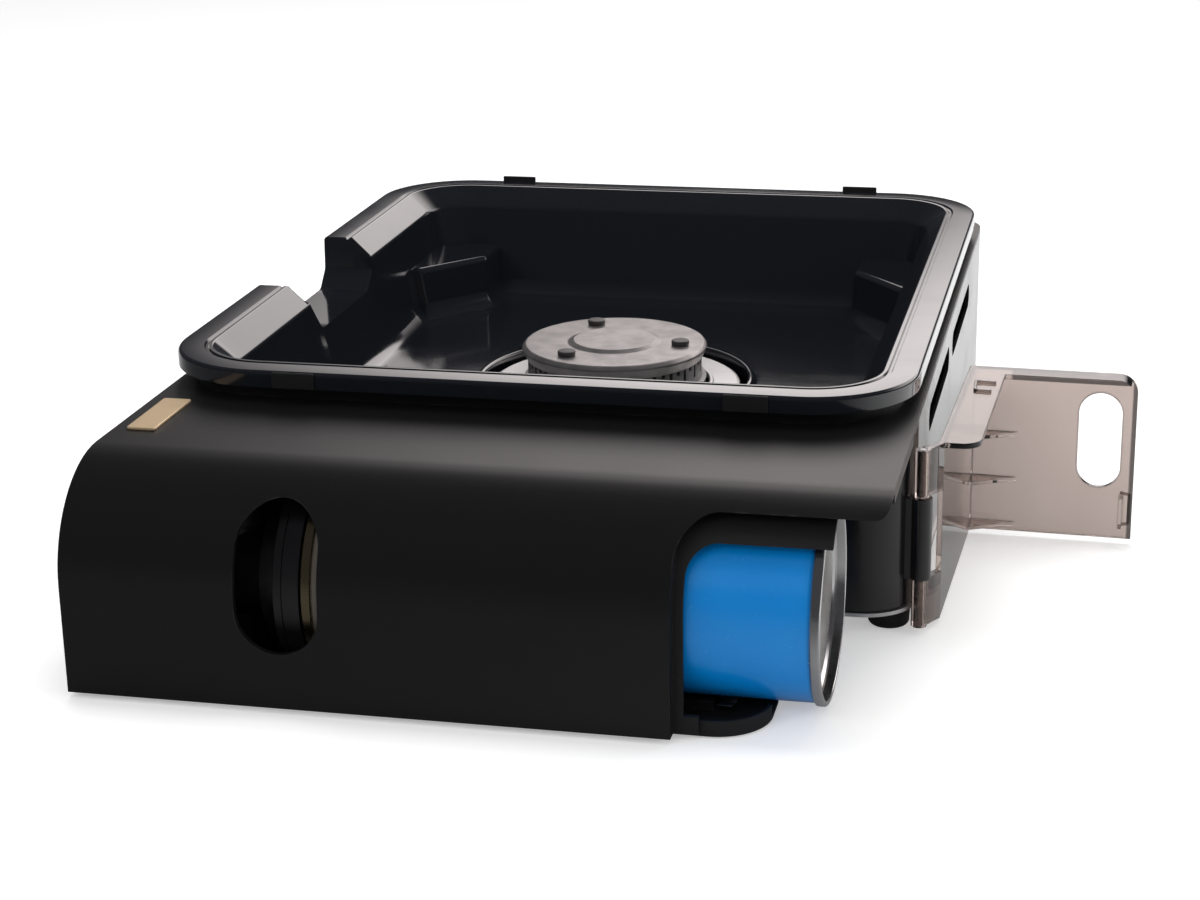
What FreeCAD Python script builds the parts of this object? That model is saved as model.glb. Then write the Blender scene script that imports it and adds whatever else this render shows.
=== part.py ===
"""Butane cassette stove with a see-through cartridge door, as separate pieces.

Lengths are millimetres, angles degrees. X runs along the cartridge to the right, Y away from the front
panel, Z up from the table. The pieces are drawn with x = 0 at the left end of the housing and y = 0 at the
front panel, and each one is then moved by the same offset, which puts the origin under the middle of the
whole stove as it stands, door open.
"""
import FreeCAD, Part
import math
import os
import Sketcher

OUT = "parts"
os.makedirs(OUT, exist_ok=True)
doc = FreeCAD.newDocument("cassette_stove")
sheet = doc.addObject("Spreadsheet::Sheet", "sizes")

SIZES = {
    # housing and burner box
    "housing_length": 267.7,
    "housing_depth": 411.0,
    "can_headroom": 5.0,
    "front_gap": 2.0,
    "front_radius": 38.0,
    "wall": 2.0,
    "edge_lip": 5.0,
    "box_front": 96.0,
    "box_wall": 1.5,
    "box_corner": 18.0,
    "corner_round": 4.0,
    "pan_sheet": 1.5,
    "pan_edge": 1.0,
    "foot_height": 8.5,
    "foot_radius": 7.6,
    "foot_taper": 0.6,
    "foot_inset_x": 8.9,
    "foot_inset_y": 17.5,
    "seat_gap": 0.3,
    "air_circle": 62.0,
    "air_hole": 4.0,
    "air_count": 12,
    "screw_radius": 3.0,
    "screw_head": 1.4,
    "screw_inset_x": 40.0,
    "screw_inset_y": 10.0,
    # side slots of the burner box
    "slot_length": 84.0,
    "slot_width": 10.0,
    "slot_pitch": 98.0,
    "slot_first": 57.0,
    "slot_drop": 18.0,
    # oval window in the curved front
    "window_left": 60.2,
    "window_width": 28.2,
    "window_bottom": 21.0,
    "window_height": 48.4,
    # opening for the cartridge at the right of the front, and its surround
    "opening_width": 64.9,
    "opening_drop": 5.1,
    "opening_corner": 13.0,
    "lip_depth": 5.0,
    "lip_sheet": 1.3,
    "lip_width": 3.2,
    "lip_drop": 9.0,
    "lip_gap": 0.5,
    "surround_overlap": 12.0,
    "surround_back": 2.0,
    "surround_foot": 8.0,
    "surround_step": 6.0,
    # drip bowl
    "rim_overhang": 3.5,
    "rim_setback": 1.2,
    "rim_front": 90.5,
    "rim_back": 1.5,
    "rim_rise": 11.0,
    "rim_skirt": 6.0,
    "rim_corner": 38.0,
    "rim_band": 12.0,
    "rim_slope": 8.0,
    "rim_flange": 21.0,
    "bowl_wall": 2.0,
    "bowl_floor": 41.0,
    "bowl_draft": 7.0,
    "bowl_room": 1.0,
    "bowl_bottom_radius": 8.0,
    "block_height": 22.0,
    "block_reach": 52.0,
    "block_width": 28.0,
    "block_step": 24.0,
    "block_nose": 5.0,
    "block_draft": 3.0,
    "collar_inset": 5.5,
    "collar_wall": 3.0,
    "notch_start": 115.5,
    "notch_width": 81.0,
    "notch_depth": 21.0,
    "notch_run": 13.0,
    "notch_heel": 8.0,
    "notch_lead": 2.0,
    "notch_room": 1.0,
    "lug_width": 15.5,
    "lug_sheet": 1.2,
    "lug_rise": 2.0,
    "lug_spread": 160.0,
    # burner
    "cap_radius": 37.7,
    "cap_underside": 52.3,
    "cap_thickness": 6.0,
    "cap_edge": 0.9,
    "cap_taper": 2.4,
    "boss_radius": 16.9,
    "boss_rise": 1.1,
    "stud_radius": 3.6,
    "stud_rise": 2.0,
    "stud_circle": 27.4,
    "stud_turn": 118.0,
    "crown_radius": 35.4,
    "crown_wall": 6.0,
    "crown_height": 8.3,
    "crown_slots": 28,
    "crown_slot_width": 1.5,
    "crown_slot_depth": 5.2,
    "crown_notch_depth": 1.6,
    "crown_lip": 1.4,
    "crown_shoulder": 4.0,
    "plate_outer": 51.0,
    "plate_inner": 38.6,
    "plate_sheet": 1.5,
    "hole_radius": 54.0,
    "hole_bead": 3.0,
    "burner_floor": 18.0,
    "stem_foot": 10.0,
    "throat_radius": 26.0,
    "tube_height": 27.0,
    "tube_radius": 8.0,
    "tube_wall": 1.5,
    "mouth_radius": 11.0,
    "mouth_length": 22.0,
    "jet_gap": 1.0,
    # gas cartridge
    "can_axis_y": 41.0,
    "can_rest": 3.0,
    "can_radius": 33.0,
    "can_length": 168.3,
    "base_seam": 34.0,
    "top_seam": 33.5,
    "seam_width": 3.2,
    "base_hollow": 5.0,
    "dome_height": 8.7,
    "collar_radius": 13.0,
    "collar_length": 4.0,
    "collar_swell": 3.0,
    "collar_ease": 1.0,
    "chime_depth": 3.2,
    "chime_drop": 1.5,
    "stem_radius": 2.0,
    "stem_reach": 4.0,
    "stem_travel": 2.0,
    "stem_depth": 6.0,
    # regulator, knob and igniter
    "magnet_inner": 30.6,
    "magnet_length": 6.0,
    "magnet_gap": 0.4,
    "seat_plate": 3.0,
    "seat_bore": 19.5,
    "valve_place": 26.8,
    "valve_radius": 17.0,
    "valve_length": 40.0,
    "valve_flange": 24.0,
    "flange_plate": 4.0,
    "drum_radius": 15.5,
    "drum_height": 18.0,
    "drum_rim": 10.0,
    "drum_slope": 12.6,
    "drum_shoulder": 5.0,
    "drum_nose": 9.0,
    "drum_neck": 4.0,
    "outlet_wall": 2.0,
    "outlet_reach": 4.0,
    "socket_room": 1.0,
    "collar_room": 1.2,
    "saddle_inset": 8.0,
    "saddle_width": 24.0,
    "shaft_radius": 4.0,
    "shaft_gap": 0.3,
    "knob_radius": 19.0,
    "knob_length": 10.0,
    "knob_base": 6.0,
    "knob_bar": 7.0,
    "knob_taper": 2.0,
    "dial_radius": 22.0,
    "dial_sheet": 1.0,
    "knob_gap": 0.4,
    "cam_radius": 7.0,
    "cam_gap": 0.8,
    "cam_steps": 12,
    "cam_over_angle": 12.0,
    "cam_width": 5.0,
    "cam_place": 8.0,
    "cam_angle": 105.0,
    "plunger_travel": 4.0,
    "plunger_radius": 2.0,
    "plunger_length": 12.0,
    "igniter_width": 9.0,
    "igniter_height": 14.0,
    "pipe_radius": 3.0,
    "pipe_bend": 10.0,
    "pipe_run": 16.0,
    "jet_place": 38.0,
    "jet_length": 11.0,
    "jet_radius": 4.5,
    "jet_shoulder": 1.0,
    "hole_gap": 0.4,
    "shield_gap": 5.0,
    "shield_sheet": 1.2,
    "shield_height": 50.0,
    "shield_foot": 9.0,
    "electrode_circle": 42.5,
    "ceramic_radius": 3.0,
    "ceramic_rise": 2.0,
    "wire_radius": 0.8,
    "wire_bend": 1.8,
    "spark_gap": 2.5,
    "lead_radius": 1.2,
    "lead_bend": 24.0,
    "lead_turn_up": 4.0,
    # tray under the cartridge
    "tray_front": 7.3,
    "tray_end": 36.2,
    "tray_floor": 1.8,
    "tray_sheet": 1.2,
    "tray_rim": 6.0,
    "tray_corner": 18.0,
    "rail_offset": 13.0,
    "rail_width": 3.0,
    "tongue_gap": 17.0,
    "tongue_notch": 7.0,
    "leaf_sheet": 0.4,
    "leaf_width": 5.0,
    "leaf_place": 4.0,
    "leaf_foot": 6.0,
    "leaf_run": 9.0,
    "leaf_rise": 3.0,
    # door, drawn closed about its own hinge line
    "hinge_side": 2.3,
    "hinge_back": 10.0,
    "door_open_angle": 178.0,
    "door_wall": 2.0,
    "door_inset": 2.5,
    "door_bottom": 2.5,
    "door_drop": 4.9,
    "door_side": 4.3,
    "door_reach": 66.7,
    "door_corner": 7.0,
    "door_lip": 9.5,
    "door_flange": 14.0,
    "door_root": 8.5,
    "finger_width": 16.0,
    "finger_height": 37.0,
    "finger_edge": 13.2,
    "finger_level": 41.0,
    "gusset_run": 18.0,
    "gusset_depth": 10.0,
    "gusset_sheet": 1.5,
    "gusset_pitch": 18.0,
    "gusset_root": 0.5,
    "snap_low": 8.0,
    "snap_height": 12.0,
    "snap_reach": 5.0,
    "knuckle_radius": 2.8,
    "bracket_radius": 3.7,
    "bracket_arm": 2.0,
    "web_half": 1.5,
    "pin_radius": 1.2,
    "pin_gap": 0.05,
    "knuckle_low": 20.0,
    "knuckle_high": 50.0,
    # badge
    "badge_left": 5.0,
    "badge_front": 51.5,
    "badge_width": 10.3,
    "badge_length": 34.0,
    "badge_sheet": 1.0,
}


class Size:
    """A length that carries its value and its formula in the sheet, so that sums stay bound to the cells."""

    def __init__(self, value, text):
        self.value = value
        self.text = text

    def __float__(self):
        return float(self.value)

    def __add__(self, other):
        other = as_size(other)
        return Size(self.value + other.value, f"({self.text} + {other.text})")

    def __sub__(self, other):
        other = as_size(other)
        return Size(self.value - other.value, f"({self.text} - {other.text})")

    def __mul__(self, other):
        other = as_size(other)
        return Size(self.value * other.value, f"({self.text} * {other.text})")

    def __truediv__(self, other):
        other = as_size(other)
        return Size(self.value / other.value, f"({self.text} / {other.text})")

    def __radd__(self, other):
        return as_size(other) + self

    def __rsub__(self, other):
        return as_size(other) - self

    def __rmul__(self, other):
        return as_size(other) * self

    def __neg__(self):
        return as_size(0) - self


def as_size(thing):
    """A plain number as a Size."""
    return thing if isinstance(thing, Size) else Size(float(thing), f"{float(thing):.6g}")


def root(thing):
    return Size(math.sqrt(thing.value), f"sqrt({thing.text})")


def cosine(angle):
    angle = as_size(angle)
    return Size(math.cos(math.radians(angle.value)), f"cos({angle.text})")


def sine(angle):
    angle = as_size(angle)
    return Size(math.sin(math.radians(angle.value)), f"sin({angle.text})")


for row, (alias, number) in enumerate(SIZES.items(), start=1):
    sheet.set(f"A{row}", alias)
    sheet.set(f"B{row}", str(number))
    sheet.setAlias(f"B{row}", alias)
doc.recompute()

PIECES = []


class Sheet:
    """Reads a cell by its name: D.wall is the wall's value and its formula."""

    def __getattr__(self, alias):
        return Size(float(sheet.get(alias)), f"sizes.{alias}")


D = Sheet()


def bind(obj, path, size):
    """Ties one property of an object to the sheet."""
    size = as_size(size)
    obj.setExpression(path, size.text)


# Sketches
def sketch_on(body, plane, level=0.0, centre=None):
    """A sketch on one of the body's own planes: xy, xz or yz, at a level along +Z, +Y or +X. A centre moves
    the sketch's own zero point on an xy plane."""
    sketch = body.newObject("Sketcher::SketchObject", f"{body.Name}_outline")
    plane_role = {"xy": "XY_Plane", "xz": "XZ_Plane", "yz": "YZ_Plane"}[plane]
    face = [item for item in body.Origin.OriginFeatures if item.Role == plane_role][0]
    sketch.AttachmentSupport = [(face, "")]
    sketch.MapMode = "FlatFace"
    bind(sketch, "AttachmentOffset.Base.z", -as_size(level) if plane == "xz" else as_size(level))
    if centre is not None:
        bind(sketch, "AttachmentOffset.Base.x", centre[0])
        bind(sketch, "AttachmentOffset.Base.y", centre[1])
    return sketch


def pin_point(sketch, geometry, end, x, y):
    """Holds one end of a sketch line or arc at x, y."""
    for kind, axis, size in (("DistanceX", -2, x), ("DistanceY", -1, y)):
        if size is None:
            continue
        size = as_size(size)
        if size.text == "0":
            sketch.addConstraint(Sketcher.Constraint("PointOnObject", geometry, end, axis))
            continue
        index = sketch.addConstraint(Sketcher.Constraint(kind, -1, 1, geometry, end, size.value))
        bind(sketch, f"Constraints[{index}]", size)


def circle(sketch, x, y, radius):
    spot = FreeCAD.Vector(float(x), float(y), 0)
    index = sketch.addGeometry(Part.Circle(spot, FreeCAD.Vector(0, 0, 1), float(radius)))
    pin_point(sketch, index, 3, x, y)
    held = sketch.addConstraint(Sketcher.Constraint("Radius", index, float(radius)))
    bind(sketch, f"Constraints[{held}]", radius)


def joined(sketch, first, first_end, second, second_end):
    sketch.addConstraint(Sketcher.Constraint("Coincident", first, first_end, second, second_end))


def outline(sketch, corners):
    """A closed outline through the corners (x, y) or (x, y, radius); a rounded corner lies between a level
    and an upright edge, and its round touches both."""
    count = len(corners)
    spots = [(as_size(c[0]), as_size(c[1])) for c in corners]
    ends = []
    for index, corner in enumerate(corners):
        x, y = spots[index]
        if len(corner) == 2:
            ends.append(((x, y), (x, y), None))
            continue
        radius = as_size(corner[2])
        touch = []
        for other in (spots[index - 1], spots[(index + 1) % count]):
            dx, dy = other[0].value - x.value, other[1].value - y.value
            if abs(dx) > abs(dy):
                touch.append((x + radius * math.copysign(1, dx), y))
            else:
                touch.append((x, y + radius * math.copysign(1, dy)))
        middle = (touch[0][0] + touch[1][0] - x, touch[0][1] + touch[1][1] - y)
        ends.append((touch[0], touch[1], (middle, radius)))
    lines = []
    for index in range(count):
        start, stop = ends[index][1], ends[(index + 1) % count][0]
        a = FreeCAD.Vector(float(start[0]), float(start[1]), 0)
        b = FreeCAD.Vector(float(stop[0]), float(stop[1]), 0)
        line = sketch.addGeometry(Part.LineSegment(a, b))
        pin_point(sketch, line, 1, *start)
        if ends[(index + 1) % count][2] is not None:
            pin_point(sketch, line, 2, *stop)
        lines.append(line)
    for index in range(count):
        before, after = lines[index - 1], lines[index]
        rounding = ends[index][2]
        if rounding is None:
            joined(sketch, before, 2, after, 1)
            continue
        (cx, cy), radius = rounding
        first, second = ends[index][0], ends[index][1]
        turn_in = math.atan2(float(first[1]) - float(cy), float(first[0]) - float(cx))
        turn_out = math.atan2(float(second[1]) - float(cy), float(second[0]) - float(cx))
        leftward = (turn_out - turn_in) % (2 * math.pi) < math.pi
        disc = Part.Circle(FreeCAD.Vector(float(cx), float(cy), 0), FreeCAD.Vector(0, 0, 1), float(radius))
        sweep = (turn_in, turn_out) if leftward else (turn_out, turn_in)
        arc = sketch.addGeometry(Part.ArcOfCircle(disc, *sweep))
        joined(sketch, before, 2, arc, 1 if leftward else 2)
        joined(sketch, after, 1, arc, 2 if leftward else 1)
        pin_point(sketch, arc, 3, cx, None)


def rectangle(sketch, x0, y0, x1, y1, radius=None):
    corners = [(x0, y0), (x1, y0), (x1, y1), (x0, y1)]
    if radius is not None:
        corners = [corner + (radius,) for corner in corners]
    outline(sketch, corners)


def racetrack(sketch, x0, y0, x1, y1):
    """A slot with round ends that just fills the rectangle."""
    x0, y0, x1, y1 = (as_size(value) for value in (x0, y0, x1, y1))
    upright = y1.value - y0.value > x1.value - x0.value
    radius = (x1 - x0) / 2 if upright else (y1 - y0) / 2
    if upright:
        sides = [((x0, y1 - radius), (x0, y0 + radius)), ((x1, y0 + radius), (x1, y1 - radius))]
        middles = [(x0 + radius, y0 + radius), (x0 + radius, y1 - radius)]
        turns = [(math.pi, 2 * math.pi), (0, math.pi)]
    else:
        sides = [((x0 + radius, y0), (x1 - radius, y0)), ((x1 - radius, y1), (x0 + radius, y1))]
        middles = [(x1 - radius, y0 + radius), (x0 + radius, y0 + radius)]
        turns = [(-math.pi / 2, math.pi / 2), (math.pi / 2, 3 * math.pi / 2)]
    lines = []
    for start, stop in sides:
        a = FreeCAD.Vector(float(start[0]), float(start[1]), 0)
        b = FreeCAD.Vector(float(stop[0]), float(stop[1]), 0)
        lines.append(sketch.addGeometry(Part.LineSegment(a, b)))
        pin_point(sketch, lines[-1], 1, *start)
        pin_point(sketch, lines[-1], 2, *stop)
    for index, (middle, turn) in enumerate(zip(middles, turns)):
        spot = FreeCAD.Vector(float(middle[0]), float(middle[1]), 0)
        disc = Part.Circle(spot, FreeCAD.Vector(0, 0, 1), float(radius))
        arc = sketch.addGeometry(Part.ArcOfCircle(disc, *turn))
        joined(sketch, lines[index], 2, arc, 1)
        joined(sketch, arc, 2, lines[1 - index], 1)
        if upright:
            pin_point(sketch, arc, 3, None, middle[1])
        else:
            pin_point(sketch, arc, 3, middle[0], None)


# Features
def new_body(label):
    body = doc.addObject("PartDesign::Body", label)
    body.Label = label
    return body


def along_plus(sketch):
    """Whether the sketch's own normal points along +X or +Z; on an xz plane it points along -Y."""
    return sketch.AttachmentSupport[0][0].Role != "XZ_Plane"


def pad(body, sketch, length):
    """Adds material from the sketch towards +X, +Y or +Z."""
    feature = body.newObject("PartDesign::Pad", f"{body.Name}_pad")
    feature.Profile = sketch
    feature.Reversed = not along_plus(sketch)
    bind(feature, "Length", length)
    return feature


def pocket(body, sketch, length):
    """Cuts from the sketch towards +X, +Y or +Z, and checks that something was cut."""
    doc.recompute()
    before = body.Shape.Volume
    feature = body.newObject("PartDesign::Pocket", f"{body.Name}_cut")
    feature.Profile = sketch
    feature.Reversed = along_plus(sketch)
    bind(feature, "Length", length)
    doc.recompute()
    if not body.Shape.Volume < before - 1e-6:
        raise RuntimeError(f"a cut in {body.Label} removed nothing")
    return feature


def edge_names(shape, wanted):
    return [f"Edge{n}" for n, edge in enumerate(shape.Edges, start=1) if wanted(edge)]


def upright(edge):
    """Whether an edge is a straight one along Z."""
    if len(edge.Vertexes) != 2 or not isinstance(edge.Curve, Part.Line):
        return False
    run = edge.Vertexes[1].Point - edge.Vertexes[0].Point
    return abs(run.x) + abs(run.y) < 1e-6


def round_edges(body, wanted, radius, kind="Fillet"):
    """Rounds or chamfers the body's edges that wanted accepts."""
    doc.recompute()
    base = body.Tip
    names = edge_names(base.Shape, wanted)
    if not names:
        raise RuntimeError(f"no edge to round in {body.Label}")
    feature = body.newObject(f"PartDesign::{kind}", f"{body.Name}_{kind.lower()}")
    feature.Base = (base, names)
    bind(feature, "Radius" if kind == "Fillet" else "Size", radius)
    doc.recompute()
    return feature


def turned(body, points, x=0.0, y=0.0, z=0.0, axis="z"):
    """A body turned about a line through x, y, z. Points are (along, radius) for a line along X, and
    (radius, height) for one along Z, and their outline closes on the line."""
    if axis == "x":
        sketch = sketch_on(body, "xy", z)
        outline(sketch, [(along, as_size(y) + radius) for along, radius in points])
        ends = ((0.0, y), (10.0, y))
    else:
        sketch = sketch_on(body, "xz", y)
        outline(sketch, [(as_size(x) + radius, height) for radius, height in points])
        ends = ((x, 0.0), (x, 10.0))
    a, b = (FreeCAD.Vector(float(end[0]), float(end[1]), 0) for end in ends)
    line = sketch.addGeometry(Part.LineSegment(a, b), True)
    pin_point(sketch, line, 1, *ends[0])
    pin_point(sketch, line, 2, *ends[1])
    feature = body.newObject("PartDesign::Revolution", f"{body.Name}_turn")
    feature.Profile = sketch
    feature.ReferenceAxis = (sketch, ["Axis0"])
    feature.Angle = 360
    return feature


def loft(body, lower, upper):
    """Adds material between two outlines."""
    feature = body.newObject("PartDesign::AdditiveLoft", f"{body.Name}_loft")
    feature.Profile = lower
    feature.Sections = [upper]
    feature.Ruled = True
    return feature


def carve(body, lower, upper):
    """Cuts the space between two outlines."""
    feature = body.newObject("PartDesign::SubtractiveLoft", f"{body.Name}_hollow")
    feature.Profile = lower
    feature.Sections = [upper]
    feature.Ruled = True
    return feature


def ring_of(body, feature, sketch, count):
    """Repeats a feature round the sketch's own zero point."""
    pattern = body.newObject("PartDesign::PolarPattern", f"{body.Name}_ring")
    pattern.Originals = [feature]
    pattern.Axis = (sketch, ["N_Axis"])
    pattern.Angle = 360
    bind(pattern, "Occurrences", count)
    body.Tip = pattern
    doc.recompute()
    return pattern


def bent_rod(name, points, bend, radius):
    """A round rod or pipe along straight runs joined by arcs, one arc radius for each inner point."""
    spots = [FreeCAD.Vector(*(float(value) for value in point)) for point in points]
    edges = []
    start = spots[0]
    for index in range(1, len(spots) - 1):
        into = (spots[index] - spots[index - 1]).normalize()
        away = (spots[index + 1] - spots[index]).normalize()
        turn = into.getAngle(away)
        back = float(bend[index - 1]) * math.tan(turn / 2)
        first, last = spots[index] - into * back, spots[index] + away * back
        side = (away - into).normalize()
        centre = spots[index] + side * (float(bend[index - 1]) / math.cos(turn / 2))
        middle = centre - side * float(bend[index - 1])
        edges.append(Part.LineSegment(start, first).toShape())
        edges.append(Part.Arc(first, middle, last).toShape())
        start = last
    edges.append(Part.LineSegment(start, spots[-1]).toShape())
    path = Part.Wire(edges)
    heading = (spots[1] - spots[0]).normalize()
    disc = Part.Wire(Part.makeCircle(float(radius), spots[0], heading))
    obj = doc.addObject("Part::Feature", name)
    obj.Shape = path.makePipeShell([disc], True, True)
    return obj


def solid(kind, name, x, y, z, sizes, axis="z"):
    """A box, cylinder, cone or tube end with its sizes and place bound to the sheet."""
    obj = doc.addObject(f"Part::{kind}", name)
    for path, size in sizes.items():
        bind(obj, path, size)
    turns = {
        "z": FreeCAD.Rotation(),
        "x": FreeCAD.Rotation(FreeCAD.Vector(0, 1, 0), 90),
        "y": FreeCAD.Rotation(FreeCAD.Vector(1, 0, 0), -90),
    }
    obj.Placement = FreeCAD.Placement(FreeCAD.Vector(float(x), float(y), float(z)), turns[axis])
    for letter, size in (("x", x), ("y", y), ("z", z)):
        bind(obj, f"Placement.Base.{letter}", size)
    return obj


def box(name, x, y, z, dx, dy, dz):
    return solid("Box", name, x, y, z, {"Length": dx, "Width": dy, "Height": dz})


def cylinder(name, x, y, z, radius, height, axis="z"):
    return solid("Cylinder", name, x, y, z, {"Radius": radius, "Height": height}, axis)


def cone(name, x, y, z, radius_start, radius_end, height, axis="z"):
    return solid("Cone", name, x, y, z, {"Radius1": radius_start, "Radius2": radius_end, "Height": height}, axis)


def cut(name, base, tool):
    obj = doc.addObject("Part::Cut", name)
    obj.Base = base
    obj.Tool = tool
    return obj


def fuse(name, *parts):
    obj = doc.addObject("Part::MultiFuse", name)
    obj.Shapes = list(parts)
    obj.Refine = True
    return obj


def group(name, *parts):
    """Separate solids that share one node."""
    obj = doc.addObject("Part::Compound", name)
    obj.Links = list(parts)
    return obj


# Places that several pieces share
LEFT = as_size(0)
RIGHT = D.housing_length
CAN_Z = D.can_rest + D.can_radius
DECK = CAN_Z + D.base_seam + D.can_headroom + D.wall
RIM_TOP = DECK + D.rim_rise
RIM_LOW = RIM_TOP - D.rim_slope
RIM_LEFT = LEFT - D.rim_overhang
RIM_RIGHT = RIGHT - D.rim_setback
RIM_BACK = D.housing_depth - D.rim_back
NOTCH_START = D.rim_front + D.notch_start
NOTCH_END = NOTCH_START + D.notch_width
NOTCH_FLOOR = RIM_TOP - D.notch_depth
NOTCH_MARGIN = D.bowl_wall + D.seat_gap + D.notch_room
BURNER_X = (RIM_LEFT + RIM_RIGHT) / 2
BURNER_Y = (D.rim_front + RIM_BACK) / 2
VALVE_BACK = LEFT + D.valve_place
VALVE_FACE = VALVE_BACK + D.valve_length
SEAT_BACK = VALVE_FACE + D.flange_plate
SEAT_FRONT = SEAT_BACK + D.seat_plate
CAN_TOP = SEAT_FRONT + D.magnet_length + D.magnet_gap
CAN_BASE = CAN_TOP + D.can_length
COLLAR_START = CAN_TOP - D.dome_height
PIPE_X = VALVE_BACK + D.valve_length / 2
PIPE_Y = D.box_front + D.pipe_run
JET_START = D.box_front + D.jet_place
TUBE_START = JET_START + D.jet_length + D.jet_gap
OUTLET_END = D.can_axis_y + D.valve_radius + D.outlet_reach
DRUM_LOW = CAN_Z + D.valve_radius
CAM_X = D.cam_place + D.cam_width / 2
PLUNGER_TOP = CAN_Z - D.cam_radius - D.cam_gap
OPENING_LEFT = RIGHT - D.opening_width
OPENING_TOP = DECK - D.opening_drop
BOX_BOTTOM = D.foot_height + D.pan_sheet
BOX_HEIGHT = DECK - D.wall - BOX_BOTTOM
KNOB_REACH = D.dial_sheet + D.knob_gap + D.knob_length
HINGE_X = RIGHT + D.hinge_side
HINGE_Y = D.box_front + D.hinge_back
DOOR_FACE = HINGE_Y - D.door_inset
DOOR_TOP = OPENING_TOP - D.door_drop
LIP_END = HINGE_X - D.door_side - D.door_flange - D.lip_gap
FAR_RIGHT = HINGE_X - D.door_reach * cosine(D.door_open_angle) + DOOR_FACE * sine(D.door_open_angle)
SHIFT_X = (KNOB_REACH - FAR_RIGHT) / 2
SHIFT_Y = -D.housing_depth / 2


def keep(obj, label, x=0.0, y=0.0):
    """Names a finished sub-part and moves it by the offset that all of them share."""
    obj.Label = label
    bind(obj, "Placement.Base.x", SHIFT_X + x)
    bind(obj, "Placement.Base.y", SHIFT_Y + y)
    PIECES.append(obj)
    return obj


# Housing
def rim_outline(sketch, inset):
    """The rim's rounded rectangle, drawn in by an inset that also tightens its corners."""
    rectangle(sketch, RIM_LEFT + inset, D.rim_front + inset, RIM_RIGHT - inset, RIM_BACK - inset,
              D.rim_corner - inset)


def bent_line(sketch, depth, back):
    """The front panel, shoulder and deck in section: a sheet as thick as depth that ends at a distance back."""
    outline(sketch, [(0, D.front_gap), (0, DECK, D.front_radius), (back, DECK), (back, DECK - depth),
                     (depth, DECK - depth, D.front_radius - depth), (depth, D.front_gap)])


def top_housing():
    """Front panel, curved shoulder and deck in one bent shell, with the collar that carries the bowl."""
    body = new_body("top_housing")
    shell = sketch_on(body, "yz")
    bent_line(shell, D.wall, D.housing_depth)
    pad(body, shell, RIGHT)
    rib = sketch_on(body, "yz", RIGHT - D.wall)
    bent_line(rib, D.edge_lip, D.box_front)
    pad(body, rib, D.wall)
    collar = sketch_on(body, "xy", DECK)
    rim_outline(collar, D.collar_inset)
    rim_outline(collar, D.collar_inset + D.collar_wall)
    pad(body, collar, D.rim_rise - D.bowl_wall - D.seat_gap)
    hole = sketch_on(body, "xy", DECK - D.wall)
    rim_outline(hole, D.rim_flange - D.bowl_wall - D.bowl_room)
    pocket(body, hole, D.wall)
    window = sketch_on(body, "xz")
    racetrack(window, D.window_left, D.window_bottom, D.window_left + D.window_width,
              D.window_bottom + D.window_height)
    pocket(body, window, D.front_radius)
    opening = sketch_on(body, "xz")
    shoulder = OPENING_TOP + D.corner_round + D.wall
    outline(opening, [(OPENING_LEFT, 0), (RIGHT + D.wall, 0), (RIGHT + D.wall, shoulder), (RIGHT, shoulder),
                      (RIGHT, OPENING_TOP, D.corner_round), (OPENING_LEFT, OPENING_TOP, D.opening_corner)])
    pocket(body, opening, D.front_radius - D.wall)
    notch = sketch_on(body, "yz")
    rectangle(notch, NOTCH_START - NOTCH_MARGIN, NOTCH_FLOOR - D.bowl_wall - D.seat_gap,
              NOTCH_END + NOTCH_MARGIN, RIM_TOP)
    pocket(body, notch, D.rim_flange)
    round_edges(body, lambda e: upright(e) and e.BoundBox.YMin > float(D.housing_depth) - 0.01, D.box_corner)
    keep(body, "top_housing")


def opening_surround():
    """The moulded frame set back in the cartridge opening; the closed door lies on its lip."""
    body = new_body("opening_surround")
    inner = D.lip_depth + D.lip_sheet
    start = OPENING_LEFT - D.surround_overlap
    length = LIP_END - start
    back = D.front_radius + D.surround_back
    band = sketch_on(body, "yz", start)
    outline(band, [(D.wall, D.front_gap), (D.wall, DECK - D.wall, D.front_radius - D.wall),
                   (back, DECK - D.wall), (back, DECK - inner),
                   (inner, DECK - inner, D.front_radius - inner), (inner, D.front_gap)])
    pad(body, band, length)
    recess = sketch_on(body, "xz")
    outline(recess, [(OPENING_LEFT, 0), (RIGHT, 0), (RIGHT, OPENING_TOP),
                     (OPENING_LEFT, OPENING_TOP, D.opening_corner)])
    pocket(body, recess, D.lip_depth)
    shoulder = sketch_on(body, "yz", OPENING_LEFT)
    bent_line(shoulder, D.lip_depth, back)
    pocket(body, shoulder, length)
    mouth = sketch_on(body, "xz")
    outline(mouth, [(OPENING_LEFT + D.lip_width, 0), (RIGHT, 0), (RIGHT, OPENING_TOP - D.lip_drop),
                    (OPENING_LEFT + D.lip_width, OPENING_TOP - D.lip_drop, D.opening_corner - D.lip_width)])
    pocket(body, mouth, D.front_radius)
    foot = sketch_on(body, "xz", D.lip_depth)
    rectangle(foot, OPENING_LEFT, D.front_gap, OPENING_LEFT + D.surround_foot, D.front_gap + D.surround_step)
    pad(body, foot, D.tray_front - D.lip_depth - D.seat_gap)
    keep(body, "opening_surround")


def left_end_cover():
    """The panel that closes the left end of the cartridge compartment, inside the bent shell."""
    body = new_body("left_end_cover")
    panel = sketch_on(body, "yz")
    outline(panel, [(D.wall, D.front_gap), (D.wall, DECK - D.wall, D.front_radius - D.wall),
                    (D.box_front, DECK - D.wall), (D.box_front, D.front_gap)])
    pad(body, panel, D.wall)
    bore = sketch_on(body, "yz")
    circle(bore, D.can_axis_y, CAN_Z, D.shaft_radius + D.shaft_gap)
    pocket(body, bore, D.wall)
    keep(body, "left_end_cover")


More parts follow.
